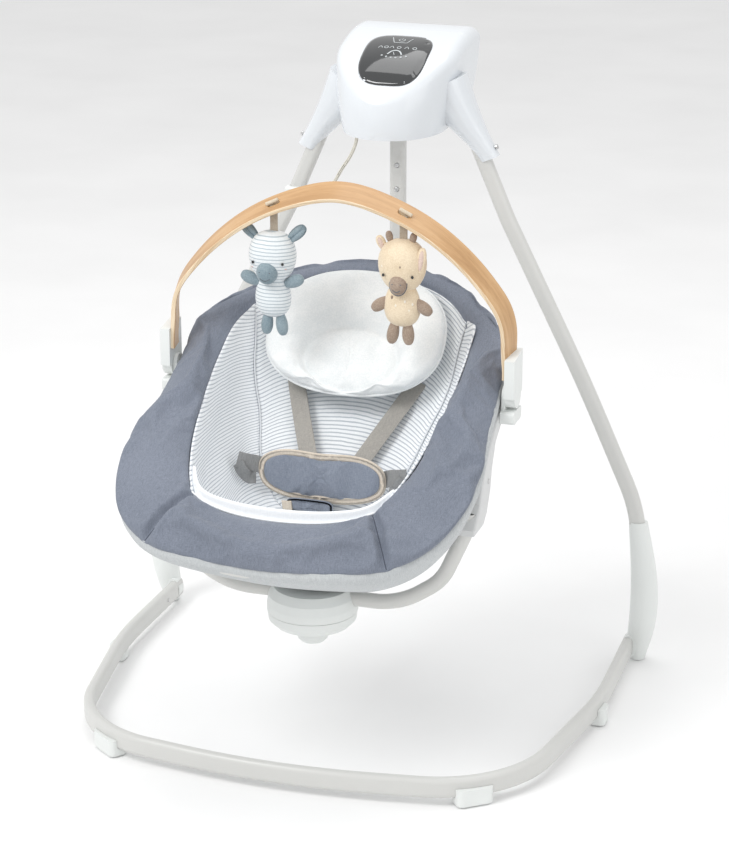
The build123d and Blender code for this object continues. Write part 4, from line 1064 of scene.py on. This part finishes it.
# ---------------------------------------------------------------- finishes of the CAD nodes
def finish_nodes(finishes):
    """Every carried CAD node takes the material of its record slot."""
    slots = {entry["node"]: entry["material_slot"] for entry in frame["record"]["subparts"]}
    for name, node in nodes.items():
        chosen = finishes.get(name) or finishes[slots[name]]
        node.data.materials.clear()
        node.data.materials.append(chosen)


def lens_material():
    surface = Surface("panel_lens")
    tint(surface, (0.018, 0.020, 0.022), 0.1, 20)
    surface.rough(surface.noise(200), 0.05, 0.09)
    surface.bump(surface.noise(30), 0.03, 0.0004)
    return surface.set(Coat_Weight=1.0, Coat_Roughness=0.02, Specular_IOR_Level=0.6).mat


def bar_wood():
    """Beech veneer round the bend of the bar, with the paler ply edges."""
    surface = Surface("bar_wood")
    parts = surface.node("ShaderNodeSeparateXYZ")
    surface.link(surface.place, parts.inputs[0])
    x, y, z = parts.outputs
    lowered = surface.math("SUBTRACT", z, 0.50)
    turn = surface.math("ARCTAN2", x, lowered)
    reach = surface.math("SQRT", surface.weigh(x, x, lowered, lowered))
    around = surface.node("ShaderNodeCombineXYZ")
    surface.link(surface.math("MULTIPLY", turn, 0.22), around.inputs[0])
    surface.link(y, around.inputs[1])
    surface.link(reach, around.inputs[2])

    def streaks(scale, detail):
        mapping = surface.node("ShaderNodeMapping")
        mapping.inputs["Scale"].default_value = scale
        surface.link(around.outputs[0], mapping.inputs["Vector"])
        made = surface.node("ShaderNodeTexNoise")
        made.inputs["Scale"].default_value = 1.0
        made.inputs["Detail"].default_value = detail
        made.inputs["Distortion"].default_value = 0.5
        surface.link(mapping.outputs["Vector"], made.inputs["Vector"])
        return made.outputs["Fac"]

    broad, pores, plies = streaks((7, 110, 60), 5), streaks((45, 1300, 500), 3), streaks((6, 20, 700), 2)
    veneer = surface.ramp(broad, [(0.30, (0.48, 0.275, 0.12)), (0.52, (0.58, 0.35, 0.165)),
                                  (0.70, (0.65, 0.42, 0.215))])
    flecks = surface.ramp(pores, [(0.36, (0.80, 0.70, 0.58)), (0.5, (1, 1, 1))])
    veneer = surface.mix(0.45, veneer, flecks, "MULTIPLY")
    edge = surface.ramp(plies, [(0.35, (0.66, 0.48, 0.29)), (0.6, (0.85, 0.70, 0.50))])
    facing = surface.node("ShaderNodeSeparateXYZ")
    surface.link(surface.place.node.outputs["Normal"], facing.inputs[0])
    side = surface.math("GREATER_THAN", surface.math("ABSOLUTE", facing.outputs[1]), 0.66)
    surface.paint(surface.mix(side, veneer, edge))
    surface.rough(broad, 0.38, 0.52)
    surface.bump(pores, 0.12, 0.0003)
    return surface.set(Coat_Weight=0.3, Coat_Roughness=0.22).mat


def zebra_coat(name, pale, dark):
    """Pale plush with wavering stripes."""
    surface = Surface(name)
    pile = surface.noise(520, 4)
    wave = surface.node("ShaderNodeTexWave", bands_direction="Z")
    wave.inputs["Scale"].default_value = 66
    wave.inputs["Distortion"].default_value = 1.6
    wave.inputs["Detail"].default_value = 1.0
    wave.inputs["Detail Scale"].default_value = 0.6
    surface.link(surface.place, wave.inputs["Vector"])
    mask = surface.ramp(wave.outputs["Fac"], [(0.72, (0, 0, 0)), (0.96, (0.8, 0.8, 0.8))])
    fleece = surface.ramp(pile, [(0.35, shade(pale, 0.93)), (0.65, pale)])
    surface.paint(surface.mix(mask, fleece, dark))
    surface.rough(pile, 0.85, 1.0)
    surface.bump(pile, 0.5, 0.0009)
    return surface.set(Sheen_Weight=0.4, Specular_IOR_Level=0.1).mat


def linear(red, green, blue):
    """Scene-linear colour of an 8-bit display colour."""
    return tuple((channel / 255 / 12.92) if channel <= 10 else ((channel / 255 + 0.055) / 1.055) ** 2.4
                 for channel in (red, green, blue))


# ---------------------------------------------------------------- finishes
PAINTS = {"frame_paint": ((208, 208, 205),)}
CLOTHS = {
    # dark, light, slub, depth, sheen
    "webbing": ((150, 147, 142), (182, 178, 171), 160, 0.0005, 0.1),
    "dark_webbing": ((118, 119, 120), (150, 151, 151), 160, 0.0005, 0.1),
    "ring_fabric": ((106, 113, 125), (134, 140, 153), 170, 0.0006, 0.12),
    "lap_fabric": ((118, 125, 138), (147, 154, 167), 170, 0.0006, 0.15),
    "beige_binding": ((196, 184, 168), (222, 212, 198), 150, 0.0005, 0.1),
    "sling_fabric": ((176, 180, 182), (200, 203, 204), 140, 0.0004, 0.1),
    "liner_plain": ((238, 241, 244), (248, 250, 252), 140, 0.0005, 0.2),
    "liner_thread": ((214, 218, 222), (232, 235, 238), 160, 0.0003, 0.2),
    "toggle_fabric": ((150, 138, 122), (186, 174, 158), 170, 0.0004, 0.1),
    "toggle_pale": ((196, 182, 160), (222, 210, 190), 220, 0.0005, 0.1),
    # next row: dark cord colour for the ring pad's corner seams, painted shade of the seam grooves
    "ring_seam": ((66, 72, 84), (88, 94, 106), 200, 0.0003, 0.1),
    "stitch_thread": ((92, 98, 104), (120, 126, 132), 300, 0.0002, 0.05),
    "blush_thread": ((206, 158, 150), (222, 178, 170), 300, 0.0002, 0.05),
}
STRIPED_CLOTHS = {
    # base, line, pitch, width, relief
    "liner_stripes": ((246, 249, 252), (190, 196, 203), 0.0062, 0.24, 0.0005),
    "liner_slanted_stripes": ((244, 247, 250), (192, 198, 205), 0.0062, 0.24, 0.0005),
}
PLUSHES = {
    # dark, light, scale, depth
    "insert_fabric": ((226, 230, 231), (238, 240, 240), 500, 0.0006),
    "zebra_slate": ((126, 143, 152), (152, 167, 174), 600),
    "zebra_ear": ((104, 120, 130), (130, 146, 154), 600),
    "giraffe_plush": ((222, 203, 174), (238, 222, 196), 560),
    "giraffe_taupe": ((148, 130, 116), (176, 158, 142), 560),
    "giraffe_inner_ear": ((206, 184, 172), (226, 206, 196), 560),
    "giraffe_spot": ((240, 230, 212), (250, 243, 230), 560),
}
ZEBRA_COATS = {"zebra_plush": ((232, 237, 239), (158, 172, 181))}
MOULDINGS = {
    # colour, least and greatest roughness, coat, grain
    "white_moulding": ((228, 231, 229), 0.36, 0.48, 0.05),
    "gloss_white": ((222, 226, 230), 0.14, 0.22, 0.5, 0.02),
    "grey_cover": ((212, 213, 213), 0.36, 0.48),
    "buckle_plastic": ((120, 120, 120), 0.4, 0.55),
    "lead_cream": ((226, 222, 210), 0.5, 0.65),
    "icon_print": ((205, 210, 212), 0.3, 0.4),
}
LINEAR_MOULDINGS = {
    # the same, with scene-linear colours
    "inner_moulding": ((0.06, 0.06, 0.065), 0.4, 0.6),
    "cell_wrap": ((0.04, 0.05, 0.06), 0.25, 0.4),
    "board_green": ((0.02, 0.10, 0.05), 0.35, 0.5),
    "bead_black": ((0.008, 0.008, 0.009), 0.08, 0.14, 0.6, 0.01),
}
METALS = {
    # scene-linear colour, least and greatest roughness
    "steel": ((0.62, 0.62, 0.62), 0.22, 0.4),
    "coil_copper": ((0.80, 0.42, 0.26), 0.25, 0.4),
}


def as_given(*colour):
    return colour


finishes = {"panel_lens": lens_material(), "ply_wood": bar_wood()}
for make, table, tone in (
        (powder_coat, PAINTS, linear), (cloth, CLOTHS, linear), (striped_cloth, STRIPED_CLOTHS, linear),
        (plush, PLUSHES, linear), (zebra_coat, ZEBRA_COATS, linear), (plastic, MOULDINGS, linear),
        (plastic, LINEAR_MOULDINGS, as_given), (metal, METALS, as_given)):
    for name, values in table.items():
        finishes[name] = make(name, *(tone(*value) if isinstance(value, tuple) else value
                                      for value in values))
look = SimpleNamespace(**finishes)

# ---------------------------------------------------------------- assembly
finish_nodes(finishes | {"liner_fabric": look.liner_plain, "toggle_fabric": look.toggle_pale,
                         "control_panel": look.gloss_white})
ring_pad(look.ring_fabric, look.ring_seam)
seat_liner(look.liner_stripes, look.liner_slanted_stripes, look.liner_plain, look.liner_thread)
liner_lip(look.liner_plain)
seat_sling(look.sling_fabric)
head_insert(look.insert_fabric, look.liner_thread)
harness(look.lap_fabric, look.beige_binding, look.webbing, look.dark_webbing)
zebra(look.zebra_plush, look.zebra_slate, look.zebra_ear, look.toggle_fabric, look.stitch_thread,
      look.bead_black, look.blush_thread)
giraffe(look.giraffe_plush, look.giraffe_taupe, look.giraffe_inner_ear, look.toggle_fabric,
        look.stitch_thread, look.bead_black, look.giraffe_spot)
toggles(look.toggle_pale)
tether_lead(look.lead_cream)
lens_piece = panel_lens(roof_tree(), look.panel_lens)
panel_icons(surface_tree(lens_piece), look.icon_print)

add_camera()
add_studio()
